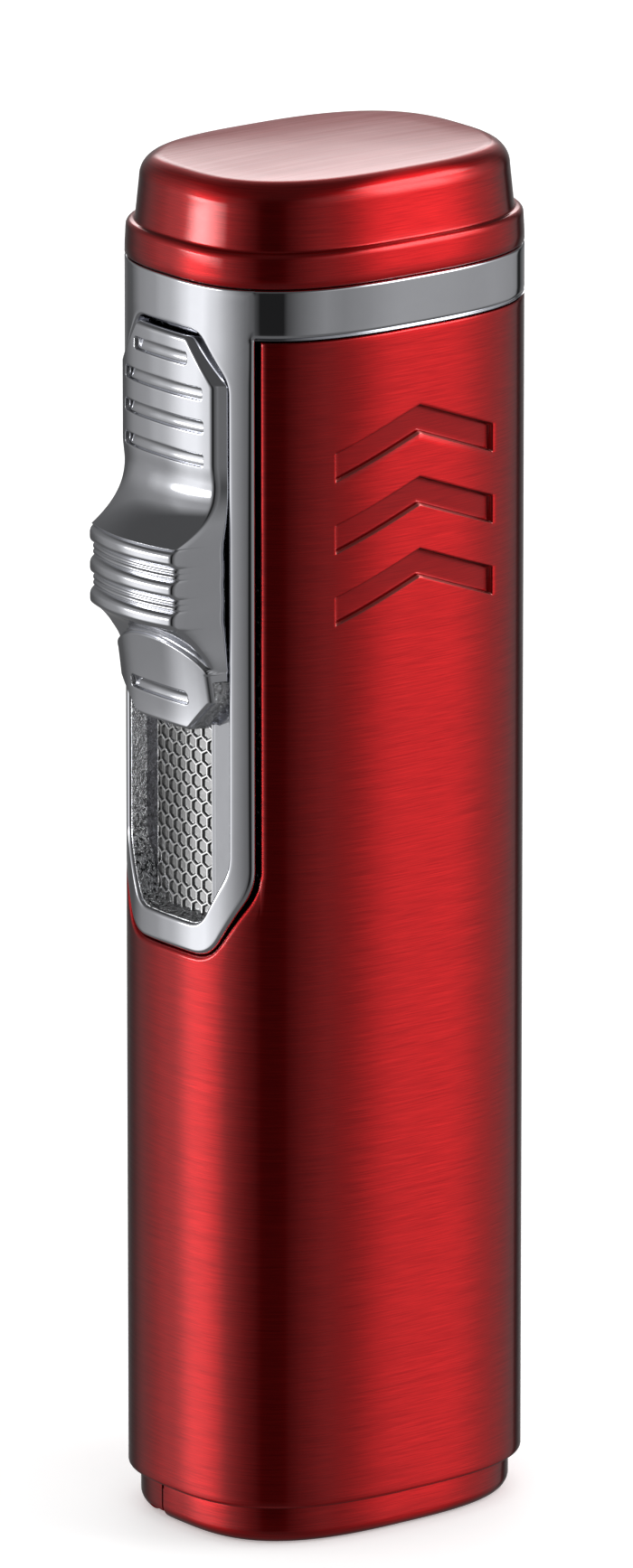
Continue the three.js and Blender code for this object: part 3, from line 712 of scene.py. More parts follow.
def lower_shell(skin, ring, line):
    """The wall below the cut-out; ring holds (x, y, top) of every column."""
    foot_steps = (0.0, 0.03, 0.08, 0.15, SHELL_FOOT_ROUND, 0.6)
    top_steps = (0.6, 0.35) + tuple(reversed(EDGE_STEPS))
    rows = []
    for index in range(len(foot_steps) + PLAIN_ROWS + len(top_steps)):
        row = []
        for x, y, top in ring:
            low, high = SHELL_LOW.z + foot_steps[-1], top - top_steps[0]
            plain = index - len(foot_steps)
            if plain < 0:
                z = SHELL_LOW.z + foot_steps[index]
            elif plain < PLAIN_ROWS:
                z = low + (high - low) * (plain + 1) / (PLAIN_ROWS + 1)
            else:
                z = top - top_steps[plain - PLAIN_ROWS]
            drop = edge_drop(z - SHELL_LOW.z, SHELL_FOOT_ROUND)
            if y < 0 and abs(x) < CUT_HALF + 1 and z > CUT_FOOT_Z - 1:
                drop += edge_drop(distance_to(line, x, z), SHELL_EDGE)
            row.append(on_oval(skin, x, y, z, drop))
        rows.append(row)
    skin.grid(rows, closed=True)


def upper_shell(skin, columns, start):
    """The wall beside the cut-out, with the chevrons."""
    rows = []
    for level in shell_rows(start):
        fade = smooth((level - SAG_FADE_IN[0]) / (SAG_FADE_IN[1] - SAG_FADE_IN[0]))
        fade *= 1 - smooth((level - SAG_FADE_OUT[0]) / (SAG_FADE_OUT[1] - SAG_FADE_OUT[0]))
        row = []
        for x, y in columns:
            z = level - chevron_sag(y) * fade
            share = chevron_depth(y, level)
            drop = CHEVRON_DEPTH * share + edge_drop(SHELL_HIGH.z - z, SHELL_RIM_ROUND)
            if y < 0 and abs(x) < CUT_HALF + 1:
                drop += edge_drop(abs(x) - CUT_HALF, SHELL_EDGE)
            row.append(on_oval(skin, x, y, z, drop, share))
        rows.append(row)
    skin.grid(rows)


def build_shell():
    """The red case: a tube with a front cut-out for the bezel and chevrons on both broad faces."""
    skin = Skin()
    half, corner_z = cut_out_line()
    line = [(-x, z) for x, z in reversed(half)] + half[1:]
    columns = shell_columns()
    tops = cut_out_tops(half)
    ring = [(x, y, corner_z) for x, y in columns] + [(x, -oval_y(x), z) for x, z in tops]
    lower_shell(skin, ring, [(-CUT_HALF, SHELL_HIGH.z)] + line + [(CUT_HALF, SHELL_HIGH.z)])
    upper_shell(skin, columns, corner_z)
    left = [(-CUT_HALF, -oval_y(CUT_HALF), z) for z in reversed(shell_rows(corner_z))]
    right = [(-x, y, z) for x, y, z in reversed(left)]
    wall_in(skin, left + [(x, -oval_y(x), z) for x, z in tops] + right, (SHELL_EDGE, 0.5, WALL))
    foot = [(x, y, SHELL_LOW.z) for x, y, _ in ring]
    wall_in(skin, foot + foot[:1], (SHELL_FOOT_ROUND, 0.8, 1.2))
    wall_in(skin, [(x, y, SHELL_HIGH.z) for x, y in columns], (SHELL_RIM_ROUND, 0.8, 1.2))
    skin.weld(0.004)
    return skin.object("body_shell_skin", RED_SIDE)


# ---------------------------------------------------------------- collar and bezel
BEZEL_HALF = 6.47
BEZEL_FOOT_HALF = 3.75
BEZEL_FOOT_Z = 37.03
BEZEL_SHOULDER_Z = 41.58
BEZEL_EDGE = 0.33
BEZEL_CORNERS = ((0, BEZEL_FOOT_Z), (BEZEL_FOOT_HALF, BEZEL_FOOT_Z),
                 (BEZEL_HALF, BEZEL_SHOULDER_Z), (BEZEL_HALF, 60))
BEZEL_ROUNDS = (1.2, 1.2)
RECESS_HALF = 5.06
RECESS_EDGE = 0.22
RECESS_CORNERS = ((0, 38.95), (3.0, 38.95), (RECESS_HALF, 42.7),
                  (RECESS_HALF, 72.9), (2.95, 75.85), (0, 75.85))
RECESS_ROUNDS = (0.9, 0.9, 0.7, 0.7)
# upper ends of the stretches where both edges run straight up
RECESS_SIDE_TOP, BEZEL_SIDE_TOP = 72.2, 73.2
# points along the chamfered foot, round the top, and up the panel's edge to the band
FOOT_POINTS, TOP_POINTS, SIDE_POINTS = 40, 36, 8
PANEL_ROWS = 5
COLLAR_WALL = 1.6
BAND_LOW = SHELL_HIGH.z + 0.12
BAND_LEVELS = (0.0, 0.02, 0.06, 0.12, 0.22, 0.34, 0.7, 1.4, 2.1, 2.7, 2.9, 2.98, 3.05)
RIM = 0.12


def collar_edges():
    """Matching points on the recess's edge and the panel's edge, for x >= 0, bottom to top."""
    inner = rounded_line(list(RECESS_CORNERS), RECESS_ROUNDS)
    outer = rounded_line(list(BEZEL_CORNERS), BEZEL_ROUNDS)
    low_in = [p for p in inner if p[1] < 44]
    low_out = [p for p in outer if p[1] < 45]
    pairs = list(zip(along(low_in, FOOT_POINTS), along(low_out, FOOT_POINTS)))
    low_z, low_edge_z = pairs[-1][0][1], pairs[-1][1][1]
    for z in spread(low_z, RECESS_SIDE_TOP, 0.8)[1:]:
        share = (z - low_z) / (RECESS_SIDE_TOP - low_z)
        pairs.append(((RECESS_HALF, z), (BEZEL_HALF, low_edge_z + (BEZEL_SIDE_TOP - low_edge_z) * share)))
    top_in = [p for p in inner if p[1] > RECESS_SIDE_TOP - 1e-6]
    turn = along([(RECESS_HALF, RECESS_SIDE_TOP)] + top_in, TOP_POINTS)
    side = along([(BEZEL_HALF, BEZEL_SIDE_TOP), (BEZEL_HALF, BAND_LOW)], SIDE_POINTS)
    levels = [(BEZEL_HALF, BAND_LOW + level) for level in BAND_LEVELS[1:]]
    step = BEZEL_HALF / (TOP_POINTS - SIDE_POINTS - len(levels))
    over = [(x, levels[-1][1]) for x in reversed(spread(0, BEZEL_HALF, step))][1:]
    return pairs + list(zip(turn[1:], (side + levels + over)[1:]))


def collar_drop(x, z, edge_distance):
    """Rounding of the panel's and the band's outer edges."""
    x = abs(x)
    if z <= BAND_LOW:
        away = edge_distance
    elif x <= BEZEL_HALF:
        away = math.hypot(BEZEL_HALF - x, z - BAND_LOW)
    else:
        away = z - BAND_LOW
    return edge_drop(away, BEZEL_EDGE) + edge_drop(COLLAR_Z[1] - z, RIM)


def recess_slide(x, z, share):
    """The recess's wall leans towards its floor."""
    lean = 0.15 * share
    rise = 0.45 * share * smooth((40.5 - z) / 1.5)
    return -lean * clamp(x / 4, -1, 1), rise - (0.1 * share if z > 74 else 0.0)


def rough_wall(x, z):
    """The recess's wall is left rough along its -X side and foot."""
    return smooth((60.0 - z) / 3.0) * smooth((4.6 - x) / 0.6)


def collar_panel(skin, loop):
    """The front panel; loop pairs the recess's edge with the panel's own."""
    steps = EDGE_STEPS + (0.45,)
    rows = []
    for index in range(2 * len(steps) + PANEL_ROWS):
        row = []
        for (ax, az), (bx, bz) in loop:
            width = math.hypot(bx - ax, bz - az)
            plain = index - len(steps)
            if plain < 0:
                distance = steps[index]
            elif plain < PANEL_ROWS:
                distance = steps[-1] + (width - 2 * steps[-1]) * (plain + 1) / (PANEL_ROWS + 1)
            else:
                distance = width - steps[PANEL_ROWS - 1 - plain]
            share = distance / width
            x, z = ax + (bx - ax) * share, az + (bz - az) * share
            drop = edge_drop(distance, RECESS_EDGE) + collar_drop(x, z, width - distance)
            row.append(on_oval(skin, x, -oval_y(x), z, drop))
        rows.append(row)
    skin.grid(rows, closed=True)


def band_outline():
    """The band from the panel's right edge round the back to its left edge."""
    front = [BEZEL_HALF] + spread(BEZEL_HALF, oval_x(SIDE_Y), 0.15)[1:-1]
    half = [(x, -oval_y(x)) for x in front] + [(oval_x(y), y) for y in spread(-SIDE_Y, SIDE_Y, 0.4)]
    half += [(x, oval_y(x)) for x in reversed(spread(0, oval_x(SIDE_Y), 0.2))][1:]
    return half + [(-x, y) for x, y in reversed(half[:-1])]


def build_collar():
    """The chrome ring under the lid with its front panel, as one skin."""
    skin = Skin()
    pairs = collar_edges()
    loop = pairs + [((-a[0], a[1]), (-b[0], b[1])) for a, b in reversed(pairs[1:-1])]
    collar_panel(skin, loop)
    strip = band_outline()
    band = []
    for level in BAND_LEVELS:
        z = BAND_LOW + level
        band.append([on_oval(skin, x, y, z, collar_drop(BEZEL_HALF + 1, z, 1)) for x, y in strip])
    skin.grid(band)
    recess = [(a[0], -oval_y(a[0]), a[1]) for a, _ in loop]
    drops = (RECESS_EDGE, RECESS_EDGE + 0.05, 0.5, 0.9, 1.45)
    wall_in(skin, recess + recess[:1], drops, recess_slide, rough_wall)
    below_band = [b for _, b in pairs if b[1] < 60 or b[0] > BEZEL_HALF - 1e-6 and b[1] <= BAND_LOW + 1e-6]
    side = [(x, -oval_y(x), z) for x, z in reversed(below_band)]
    outline = [(x, y, BAND_LOW) for x, y in reversed(strip)] + side[1:]
    wall_in(skin, outline + [(-x, y, z) for x, y, z in reversed(side[:-1])], (BEZEL_EDGE, 0.6, 1.2))
    rim = strip + [(x, -oval_y(x)) for x in spread(-BEZEL_HALF, BEZEL_HALF, 0.3)[1:]]
    wall_in(skin, [(x, y, COLLAR_Z[1]) for x, y in rim], (RIM, 0.9, COLLAR_WALL))
    skin.grid([[on_oval(skin, x, y, COLLAR_Z[1] - deep, COLLAR_WALL) for x, y in rim] for deep in (0, 2.2)])
    skin.weld(0.012)
    return skin.object("collar_skin", CHROME)


# ---------------------------------------------------------------- slider
PAD_PROUD = 0.5
PAD_HALF = 4.62
PAD_ROUND = 0.28
SIDE_DRAFT = 0.16
HUMP_CREST_Y = -15.4
HUMP_EDGE_DROP = 0.72
HUMP_TOP_Z = 63.0
HUMP_FOOT_Z = 57.95
RIDGES = (1.22, 0.36, 0.36, 1.22, 0.36, 0.36, 1.22)
SCOOP_Z = 66.4
LOWER_PAD_Z = 56.6
LOWER_PAD_BULGE = 0.68
SLIDER_CORNERS = ((2.85, 51.15), (4.9, 53.2), (4.9, 72.7), (2.8, 75.55))
GROOVES = ((74.2, 2.6), (72.2, 3.8), (70.15, 3.9), (68.1, 3.9))
GROOVE_HALF = 0.42
GROOVE_DEPTH = 0.19
GROOVE_HOLLOW = 0.11
GROOVE_CORNER = 0.2
GROOVE_WALL = 0.08
LOWER_SLOT = (53.2, 2.8)
# the slider's +X side is left rough below this height
ROUGH_SIDE_TOP = 54.5


def slider_half(z):
    """Half width of the slider's outline at z."""
    for (x0, z0), (x1, z1) in zip(SLIDER_CORNERS, SLIDER_CORNERS[1:]):
        if z <= z1:
            return x0 + (x1 - x0) * clamp((z - z0) / (z1 - z0))
    return SLIDER_CORNERS[-1][0]


def ridge(z):
    """How far the hump's ribbed top lies behind its crest line at z."""
    place = (HUMP_TOP_Z - z) / (HUMP_TOP_Z - HUMP_FOOT_Z) * sum(RIDGES)
    for width in RIDGES:
        if place <= width:
            t = abs(clamp(place / width) * 2 - 1)
            if width > 0.5:
                return 0.40 * t ** 3.2
            return 0.38 - 0.12 * (1 - t ** 2.5)
        place -= width
    return 0.40


def pad_y(x):
    return -oval_y(x) - PAD_PROUD


def hump_y(x):
    return HUMP_CREST_Y + HUMP_EDGE_DROP * (x / 4.2) ** 2


def slot_depth(x, z, middle_z, half):
    """Depth of a horizontal slot with rounded corners, short walls and a hollow floor."""
    dx = max(0.0, abs(x) - (half - GROOVE_CORNER))
    dz = max(0.0, abs(z - middle_z) - (GROOVE_HALF - GROOVE_CORNER))
    inside = GROOVE_CORNER - math.hypot(dx, dz)
    hollow = GROOVE_HOLLOW * clamp(1 - ((z - middle_z) / GROOVE_HALF) ** 2)
    return (GROOVE_DEPTH + hollow) * smooth(inside / GROOVE_WALL)


def slider_y(x, z):
    """The slider's outer surface."""
    pad = pad_y(x)
    if z >= HUMP_TOP_Z:
        rise = clamp((SCOOP_Z + 0.35 - z) / (SCOOP_Z + 0.35 - HUMP_TOP_Z)) ** 2.6
        dip = 0.14 * smooth((68.0 - z) / 1.6) * (1 - rise)
        y = pad + dip + (hump_y(x) + 0.10 - pad) * rise
        for middle, half in GROOVES:
            y += slot_depth(x, z, middle, half)
        return y
    if z >= HUMP_FOOT_Z:
        return hump_y(x) + ridge(z)
    edge = LOWER_PAD_Z - 2.3 * (1 - math.sqrt(max(0.0, 1 - (x / 4.8) ** 2)))
    bulge = LOWER_PAD_BULGE * clamp((z - 51.5) / 5.0) ** 1.25
    if z > edge:
        rise = clamp((z - edge) / (HUMP_FOOT_Z - edge)) ** 1.6
        low = pad - bulge + 0.32 * smooth((z - edge) / 0.13)
        return low + (hump_y(x) + 0.42 - low) * rise
    return pad - bulge + slot_depth(x, z, *LOWER_SLOT)


def slider_levels():
    """Heights of the slider's rows, closer together where it is ribbed or grooved."""
    low, high = SLIDER_CORNERS[0][1], SLIDER_CORNERS[-1][1]
    levels = spread(low, high, 0.1)
    levels += spread(HUMP_FOOT_Z - 0.1, HUMP_TOP_Z + 0.1, 0.035)
    levels += spread(53.6, LOWER_PAD_Z + 0.4, 0.05)
    for middle in [z for z, _ in GROOVES] + [LOWER_SLOT[0]]:
        levels += spread(middle - GROOVE_HALF - 0.02, middle + GROOVE_HALF + 0.02, 0.03)
    levels = sorted(set(round(z, 3) for z in levels))
    kept = levels[:1]
    for z in levels[1:]:
        if z - kept[-1] > 0.019:
            kept.append(z)
    return kept


def slider_steps():
    """Places across the face, as shares of its half width, closer at the grooves' ends."""
    half = [i / 60 for i in range(61)]
    for _, end in GROOVES[1:] + (LOWER_SLOT,):
        half += [(end - d) / PAD_HALF for d in (0.0, 0.03, 0.06, 0.09, 0.12)]
    kept = [0.0]
    for share in sorted(half)[1:]:
        if share - kept[-1] > 0.004 or share == 1:
            kept.append(share)
    return [-share for share in reversed(kept[1:])] + kept


def build_slider():
    """The thumb slider: its face, drafted sides and ends."""
    skin = Skin()
    zs = slider_levels()
    steps = slider_steps()
    back_y = FLOOR_Y - 0.25
    rows = []
    for z in zs:
        half = slider_half(z)
        near_end = min(z - zs[0], zs[-1] - z)
        face_half = half - (SLIDER_CORNERS[1][0] - PAD_HALF)
        proud = max(0.0, pad_y(face_half) - slider_y(face_half, z))
        face_half -= SIDE_DRAFT * proud
        points = []
        for step in steps:
            x = face_half * step
            y = slider_y(x, z)
            y += edge_drop((1 - abs(step)) * face_half, PAD_ROUND) + edge_drop(near_end, PAD_ROUND)
            points.append((x, y))
        edge_y = points[-1][1]
        wall = []
        for share in spread(0.2, 1.0, 0.2):
            wall.append((face_half + (half - face_half) * share, edge_y + (back_y - edge_y) * share))
        row = []
        for x, y in [(-x, y) for x, y in reversed(wall)] + points + wall:
            rough = x > face_half + 0.01 and z < ROUGH_SIDE_TOP
            row.append(skin.point(x, y, z, 1.0 if rough else 0.0))
        rows.append(row)
    skin.grid(rows)
    skin.grid([[skin.point(v.co.x / MM, back_y, z) for v in (row[0], row[-1])] for row, z in zip(rows, zs)])
    for row, mask in ((rows[0], 1.0), (rows[-1], 0.0)):
        level = row[0].co.z / MM
        skin.grid([[skin.point(v.co.x / MM, v.co.y / MM, level, mask) for v in row],
                   [skin.point(v.co.x / MM, back_y, level, mask) for v in row]])
    skin.weld(0.002)
    return skin.object("slider_skin", SLIDER_CHROME)


# ---------------------------------------------------------------- lid
LEDGE_Z = 81.1
DOME_INSET = 0.58
TOP_FILLET = 1.5
TOP_CROWN = 0.14
DOME_DRAFT = 0.23
FLANGE_DRAFT = 0.06
FLANGE_ROUND_FOOT_Z = LEDGE_Z - 0.55
LEDGE_ROUND = 0.38
LEDGE_FILLET = 0.16
LID_FOOT_Z = COLLAR_Z[1] + 0.08
LID_WALL = 1.35
LID_POINTS = 220


def quarter(steps):
    """A quarter turn in even steps, as a share that starts slowly and one that ends slowly."""
    turns = [math.pi / 2 * i / steps for i in range(1, steps + 1)]
    return [(1 - math.cos(turn), math.sin(turn)) for turn in turns]


def lid_profile():
    """(inset, z) up the outside of the lid, from the lower rim to the flat top."""
    low = LID_FOOT_Z
    out = [(LID_WALL, low), (0.15, low), (0.06, low + 0.03), (0.0, low + 0.14), (0.01, low + 0.7)]
    out.append((FLANGE_DRAFT, FLANGE_ROUND_FOOT_Z))
    for slow, fast in quarter(6):
        out.append((FLANGE_DRAFT + (LEDGE_ROUND - FLANGE_DRAFT) * slow, FLANGE_ROUND_FOOT_Z + 0.42 * fast))
    for slow, fast in quarter(5):
        out.append((DOME_INSET - LEDGE_FILLET + LEDGE_FILLET * fast, LEDGE_Z - 0.13 + LEDGE_FILLET * slow))
    top = LID_HIGH.z - TOP_FILLET - TOP_CROWN
    for share in (0.25, 0.5, 0.75, 1.0):
        out.append((DOME_INSET + DOME_DRAFT * share, LEDGE_Z + 0.03 + (top - LEDGE_Z - 0.03) * share))
    for slow, fast in quarter(12):
        out.append((DOME_INSET + DOME_DRAFT + TOP_FILLET * 0.9 * slow, top + (TOP_FILLET - 0.03) * fast))
    return out


def lid_row(skin, inset, z, share=1.0):
    return [skin.point(p.x * share, p.y * share, z) for p in even_oval(inset, LID_POINTS)]


def build_lid():
    """The lid, with a brushed flat top and a plain hollow inside."""
    skin = Skin()
    profile = lid_profile()
    rows = [lid_row(skin, inset, z) for inset, z in profile]
    last_inset, last_z = profile[-1]
    for share in (0.8, 0.55, 0.3, 0.1):
        rows.append(lid_row(skin, last_inset, last_z + TOP_CROWN * (1 - share ** 2), share))
    skin.grid(rows, closed=True)
    skin.fan(rows[-1], skin.point(0, 0, last_z + TOP_CROWN))
    hollow = ((LID_WALL, LID_FOOT_Z), (1.4, LID_HIGH.z - 2.0), (2.2, LID_HIGH.z - 1.0))
    inner = [lid_row(skin, inset, z) for inset, z in hollow]
    skin.grid(inner, closed=True)
    skin.fan(inner[-1], skin.point(0, 0, LID_HIGH.z - 1.0))
    skin.weld(0.002)
    lid = skin.object("lid_skin", RED_SIDE)
    lid.data.materials.append(RED_TOP)
    for polygon in lid.data.polygons:
        flat = polygon.normal.z > 0.97 and polygon.center.z > (LID_HIGH.z - 0.3) * MM
        polygon.material_index = 1 if flat else 0
    return lid


# ---------------------------------------------------------------- hinge
HINGE_Y, HINGE_Z = 10.9, 78.9
KNUCKLE, RELIEF = 1.1, 1.75
KNUCKLE_MIDDLE, KNUCKLE_END = 2.4, 5.8
KNUCKLE_RIM = 0.12
KNUCKLE_GAP = 0.3
# how far past the middle barrel's ends the collar stays whole and the lid is cut away
COLLAR_PAST, LID_PAST = 0.08, 0.22


def join_hinge(collar, lid):
    """Makes room for the hinge and builds its three barrels."""
    near = KNUCKLE_MIDDLE + COLLAR_PAST
    for low, high in ((near, KNUCKLE_END), (-KNUCKLE_END, -near)):
        cut(collar, cross_pin(RELIEF, low, high, HINGE_Y, HINGE_Z, CHROME, 64))
    reach = KNUCKLE_MIDDLE + LID_PAST
    cut(lid, cross_pin(RELIEF, -reach, reach, HINGE_Y, HINGE_Z, RED_SIDE, 64))
    knuckles = []
    inner, outer = KNUCKLE_MIDDLE + KNUCKLE_GAP, KNUCKLE_END - KNUCKLE_GAP
    spans = ((-KNUCKLE_MIDDLE, KNUCKLE_MIDDLE, "case", CHROME),
             (inner, outer, "lid", RED_SIDE), (-outer, -inner, "lid", RED_SIDE))
    for i, (low, high, body, material) in enumerate(spans):
        knuckle = build_knuckle(low, high, material)
        knuckle.name = "hinge_knuckle_%d" % (i + 1)
        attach(knuckle, body)
        knuckles.append(knuckle)
    return knuckles


def build_knuckle(low, high, material):
    """A barrel with rounded rims, trimmed to the oval's outside."""
    rim = KNUCKLE_RIM
    places = [(low, KNUCKLE - rim), (low + rim * 0.3, KNUCKLE - rim * 0.3), (low + rim, KNUCKLE)]
    places += [(x, KNUCKLE) for x in spread(low + rim, high - rim, 0.4)[1:-1]]
    places += [(high - rim, KNUCKLE), (high - rim * 0.3, KNUCKLE - rim * 0.3), (high, KNUCKLE - rim)]
    return round_bar("knuckle", places, HINGE_Y, HINGE_Z, material, 56, lambda x: oval_y(x) - 0.05)


# ---------------------------------------------------------------- track
CHANNEL_Y = -10.15
BLOCK_HALF = 2.9
BLOCK_ROUND = 14.6
BLOCK_CREST_Y = FLOOR_Y - 0.16
POCKET_Y = -10.2
TRACK_Z = (38.9, 75.9)
SLOT_HALF = 1.7
SLOT_Z = (54.6, 74.5)
# a point on each corner cut of the plate and the direction it faces
TRACK_CORNERS = (((5.1, 42.7), (0.875, -0.484)), ((5.1, 72.9), (0.813, 0.583)))
PANEL_HALF = 2.72
PANEL_Z = (38.7, 54.0)
CELL_WIDTH = 0.92
CELL_WALL = 0.05
CELL_DEPTH = 0.15


def block_y(x):
    """The raised middle of the track is a little barrel-shaped."""
    return BLOCK_CREST_Y + x * x / (2 * BLOCK_ROUND)


def build_track():
    """The plate behind the slider: a barrel-shaped middle with a slot, a ledge and a channel beside it."""
    skin = Skin()
    top = block_y(BLOCK_HALF)
    half = [(x, block_y(x)) for x in (0, 0.6, 1.2, SLOT_HALF, 2.2, 2.6, PANEL_HALF, PANEL_HALF + 0.02, 2.82)]
    half += [(2.87, top + 0.03), (BLOCK_HALF, top + 0.09), (2.93, CHANNEL_Y - 0.12), (2.96, CHANNEL_Y - 0.04)]
    half += [(3.04, CHANNEL_Y), (3.6, CHANNEL_Y), (4.4, CHANNEL_Y), (5.15, CHANNEL_Y)]
    ledge = [(x, min(y, top + 0.04)) for x, y in half[1:]]
    profile = [(-x, y) for x, y in reversed(half)] + ledge
    levels = spread(TRACK_Z[0], PANEL_Z[1], 0.8) + spread(PANEL_Z[1] + 0.02, SLOT_Z[0], 0.3)
    levels += spread(SLOT_Z[0], SLOT_Z[1], 0.8)[1:] + spread(SLOT_Z[1], TRACK_Z[1], 0.5)[1:]
    rows = []
    for z in levels:
        row = []
        for x, y in profile:
            pocket = abs(x) <= PANEL_HALF and z <= PANEL_Z[1]
            # the channel at -X is rough casting, darkened there as painted shadow
            row.append(skin.point(x, POCKET_Y if pocket else y, z, 1.0 if x < -2.95 else 0.0))
        rows.append(row)
    for low, high, z in zip(rows, rows[1:], levels):
        for i in range(len(profile) - 1):
            open_slot = SLOT_Z[0] <= z < SLOT_Z[1] and abs(profile[i][0] + profile[i + 1][0]) < 2 * SLOT_HALF
            if not open_slot:
                skin.face(low[i], low[i + 1], high[i + 1], high[i])
    for (x, z), (nx, nz) in TRACK_CORNERS:
        for side in (-1, 1):
            skin.clip((x * side, 0, z), (nx * side, 0, nz))
    skin.flat_back(TRACK_HIGH.y)
    loose = [vert for vert in skin.bm.verts if not vert.link_faces]
    bmesh.ops.delete(skin.bm, geom=loose, context="VERTS")
    track = skin.object("track_skin", TRACK_CHROME)
    shade_by_angle(track, 40)
    return track


def build_honeycomb():
    """The panel of six-sided cells at the foot of the track."""
    skin = Skin()
    radius = CELL_WIDTH / math.sqrt(3)
    row_step = radius * 1.5
    y = BLOCK_CREST_Y - 0.02
    shared = {}

    def corner(x, z):
        key = (round(x, 3), round(z, 3))
        if key not in shared:
            shared[key] = skin.point(x, y, z)
        return shared[key]

    rows = math.ceil((PANEL_Z[1] - PANEL_Z[0]) / row_step) + 2
    for row in range(-1, rows):
        z = PANEL_Z[0] + row * row_step
        shift = CELL_WIDTH / 2 if row % 2 else 0.0
        for column in range(-5, 6):
            x = column * CELL_WIDTH + shift
            angles = [math.pi / 6 + math.pi / 3 * k for k in range(6)]
            skin.face(*[corner(x + radius * math.cos(a), z + radius * math.sin(a)) for a in angles])
    limits = (((PANEL_HALF, 0, 0), (1, 0, 0)), ((-PANEL_HALF, 0, 0), (-1, 0, 0)),
              ((0, 0, PANEL_Z[0]), (0, 0, -1)), ((0, 0, PANEL_Z[1]), (0, 0, 1)))
    for place, normal in limits:
        skin.clip(place, normal)
    bmesh.ops.recalc_face_normals(skin.bm, faces=skin.bm.faces)
    for face in skin.bm.faces:
        if face.normal.y > 0:
            face.normal_flip()
    cells = skin.bm.faces[:]
    for thickness, depth in ((CELL_WALL, 0.0), (0.03, -0.04), (0.03, -0.07), (0.05, 0.11 - CELL_DEPTH)):
        bmesh.ops.inset_individual(skin.bm, faces=cells, thickness=thickness * MM, depth=depth * MM)
    for vert in skin.bm.verts:
        vert[skin.mask] = clamp((vert.co.y / MM - y) / CELL_DEPTH)
        vert.co.y += (block_y(vert.co.x / MM) - BLOCK_CREST_Y) * MM
    skin.flat_back(POCKET_Y)
    panel = skin.object("honeycomb_panel", HEX_CHROME)
    shade_by_angle(panel, 25)
    return panel


# ---------------------------------------------------------------- base
FOOT_INSET = 0.7
FOOT_ROUND = 0.9
FOOT_TOP = 2.42
ARM_HINGE_Y, ARM_HINGE_Z = 9.7, 1.1
# at 1.09 the union with the arm fails
ARM_BARREL = 1.07


def foot_profile(top):
    """(pull inwards, z) up the foot's side."""
    turns = [math.pi / 2 * i / 10 for i in range(11)]
    out = [(FOOT_ROUND * (1 - math.sin(t)), FOOT_ROUND * (1 - math.cos(t))) for t in turns]
    return out + [(0.0, 0.5 * (FOOT_ROUND + top)), (0.0, top - 0.04), (0.006, top - 0.015), (0.03, top)]


def foot_arc(cut_x, side):
    """Angles along the foot's outline on one side of a cut at x; side is +1 for +X."""
    reach = math.asin((abs(cut_x) / (HALF_X - FOOT_INSET)) ** (OVAL_POWER / 2))
    half = math.pi / 2 - math.copysign(reach, cut_x * side)
    middle = 0.0 if side > 0 else math.pi
    return [middle + half * (i / 130 - 1) for i in range(261)]


def build_foot(name, cut_x, side, top, rear_y=99.0):
    """The part of the foot on one side of a cut, closed above and below."""
    skin = Skin()
    outline = [Vector(oval_point(angle, FOOT_INSET)) for angle in foot_arc(cut_x, side)]
    rows = []
    for pull, z in foot_profile(top):
        row = []
        for p in outline:
            normal = oval_normal(p.x, p.y, FOOT_INSET)
            x = p.x - normal.x * pull
            x = max(x, cut_x) if side > 0 else min(x, cut_x)
            row.append(skin.point(x, min(p.y - normal.y * pull, rear_y), z))
        rows.append(row)
    skin.solid(rows)
    skin.weld(0.002)
    return skin.object(name, RED_SIDE)


def upright_pin(radius, x, y, low, high, sides=56):
    """A cylinder along Z, as a tool."""
    turns = [2 * math.pi * i / sides for i in range(sides)]
    return prism([(x + radius * math.cos(t), y + radius * math.sin(t)) for t in turns], low, high, RED_SIDE)


def oval_block(inset, low, high):
    """A plain piece of the oval between two heights, as a tool."""
    return prism([oval_point(2 * math.pi * i / 360, inset) for i in range(360)], low, high, RED_SIDE)


def box_tool(low, high):
    """A box between two corners, as a tool."""
    corners = ((low[0], low[1]), (high[0], low[1]), (high[0], high[1]), (low[0], high[1]))
    return prism(corners, low[2], high[2], RED_SIDE)


def build_base():
    """The fixed foot with its plug, screw seats, valve openings and punch pocket."""
    base = build_foot("base_foot", -1.53, 1, FOOT_TOP)
    cut(base, oval_block(1.1, 2.36, 5.0), "UNION")
    cut(base, box_tool((-9.5, -12.0, 2.0), (-1.45, 12.0, 2.8)))
    cut(base, box_tool((-8.6, -8.9, 2.0), (-1.9, -0.2, 6.0)))
    for y in (4.2, -3.9):
        cut(base, upright_pin(2.1, 3.6, y, -1, 6))
    for y in (-8.3, 8.3):
        cut(base, upright_pin(1.4, 3.0, y, -1, 1.3))
    cut(base, cross_pin(0.5, -2.45, 1.5, ARM_HINGE_Y, ARM_HINGE_Z, RED_SIDE))
    shade_by_angle(base)
    return base


def build_arm():
    """The swinging arm, with its rounded hinge end, thumb notch and punch seat."""
    arm = build_foot("punch_arm_skin", -1.67, -1, 2.2, rear_y=ARM_HINGE_Y)
    places = [(x, ARM_BARREL) for x in spread(-6.2, -1.75, 0.15)]
    barrel = round_bar("barrel", places, ARM_HINGE_Y, ARM_HINGE_Z, RED_SIDE, 40,
                       lambda x: oval_y(x, -FOOT_INSET) - 0.01)
    cut(arm, barrel, "UNION")
    cut(arm, cross_pin(0.7, -3.35, -0.75, -10.9, -0.15, RED_SIDE))
    cut(arm, upright_pin(0.9, -4.9, -3.6, -1, 4))
    shade_by_angle(arm)
    return arm


def place(obj, body, slot, *nodes):
    """Puts a piece on a body, in place of CAD nodes."""
    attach(obj, body)
    if nodes:
        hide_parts(*nodes)


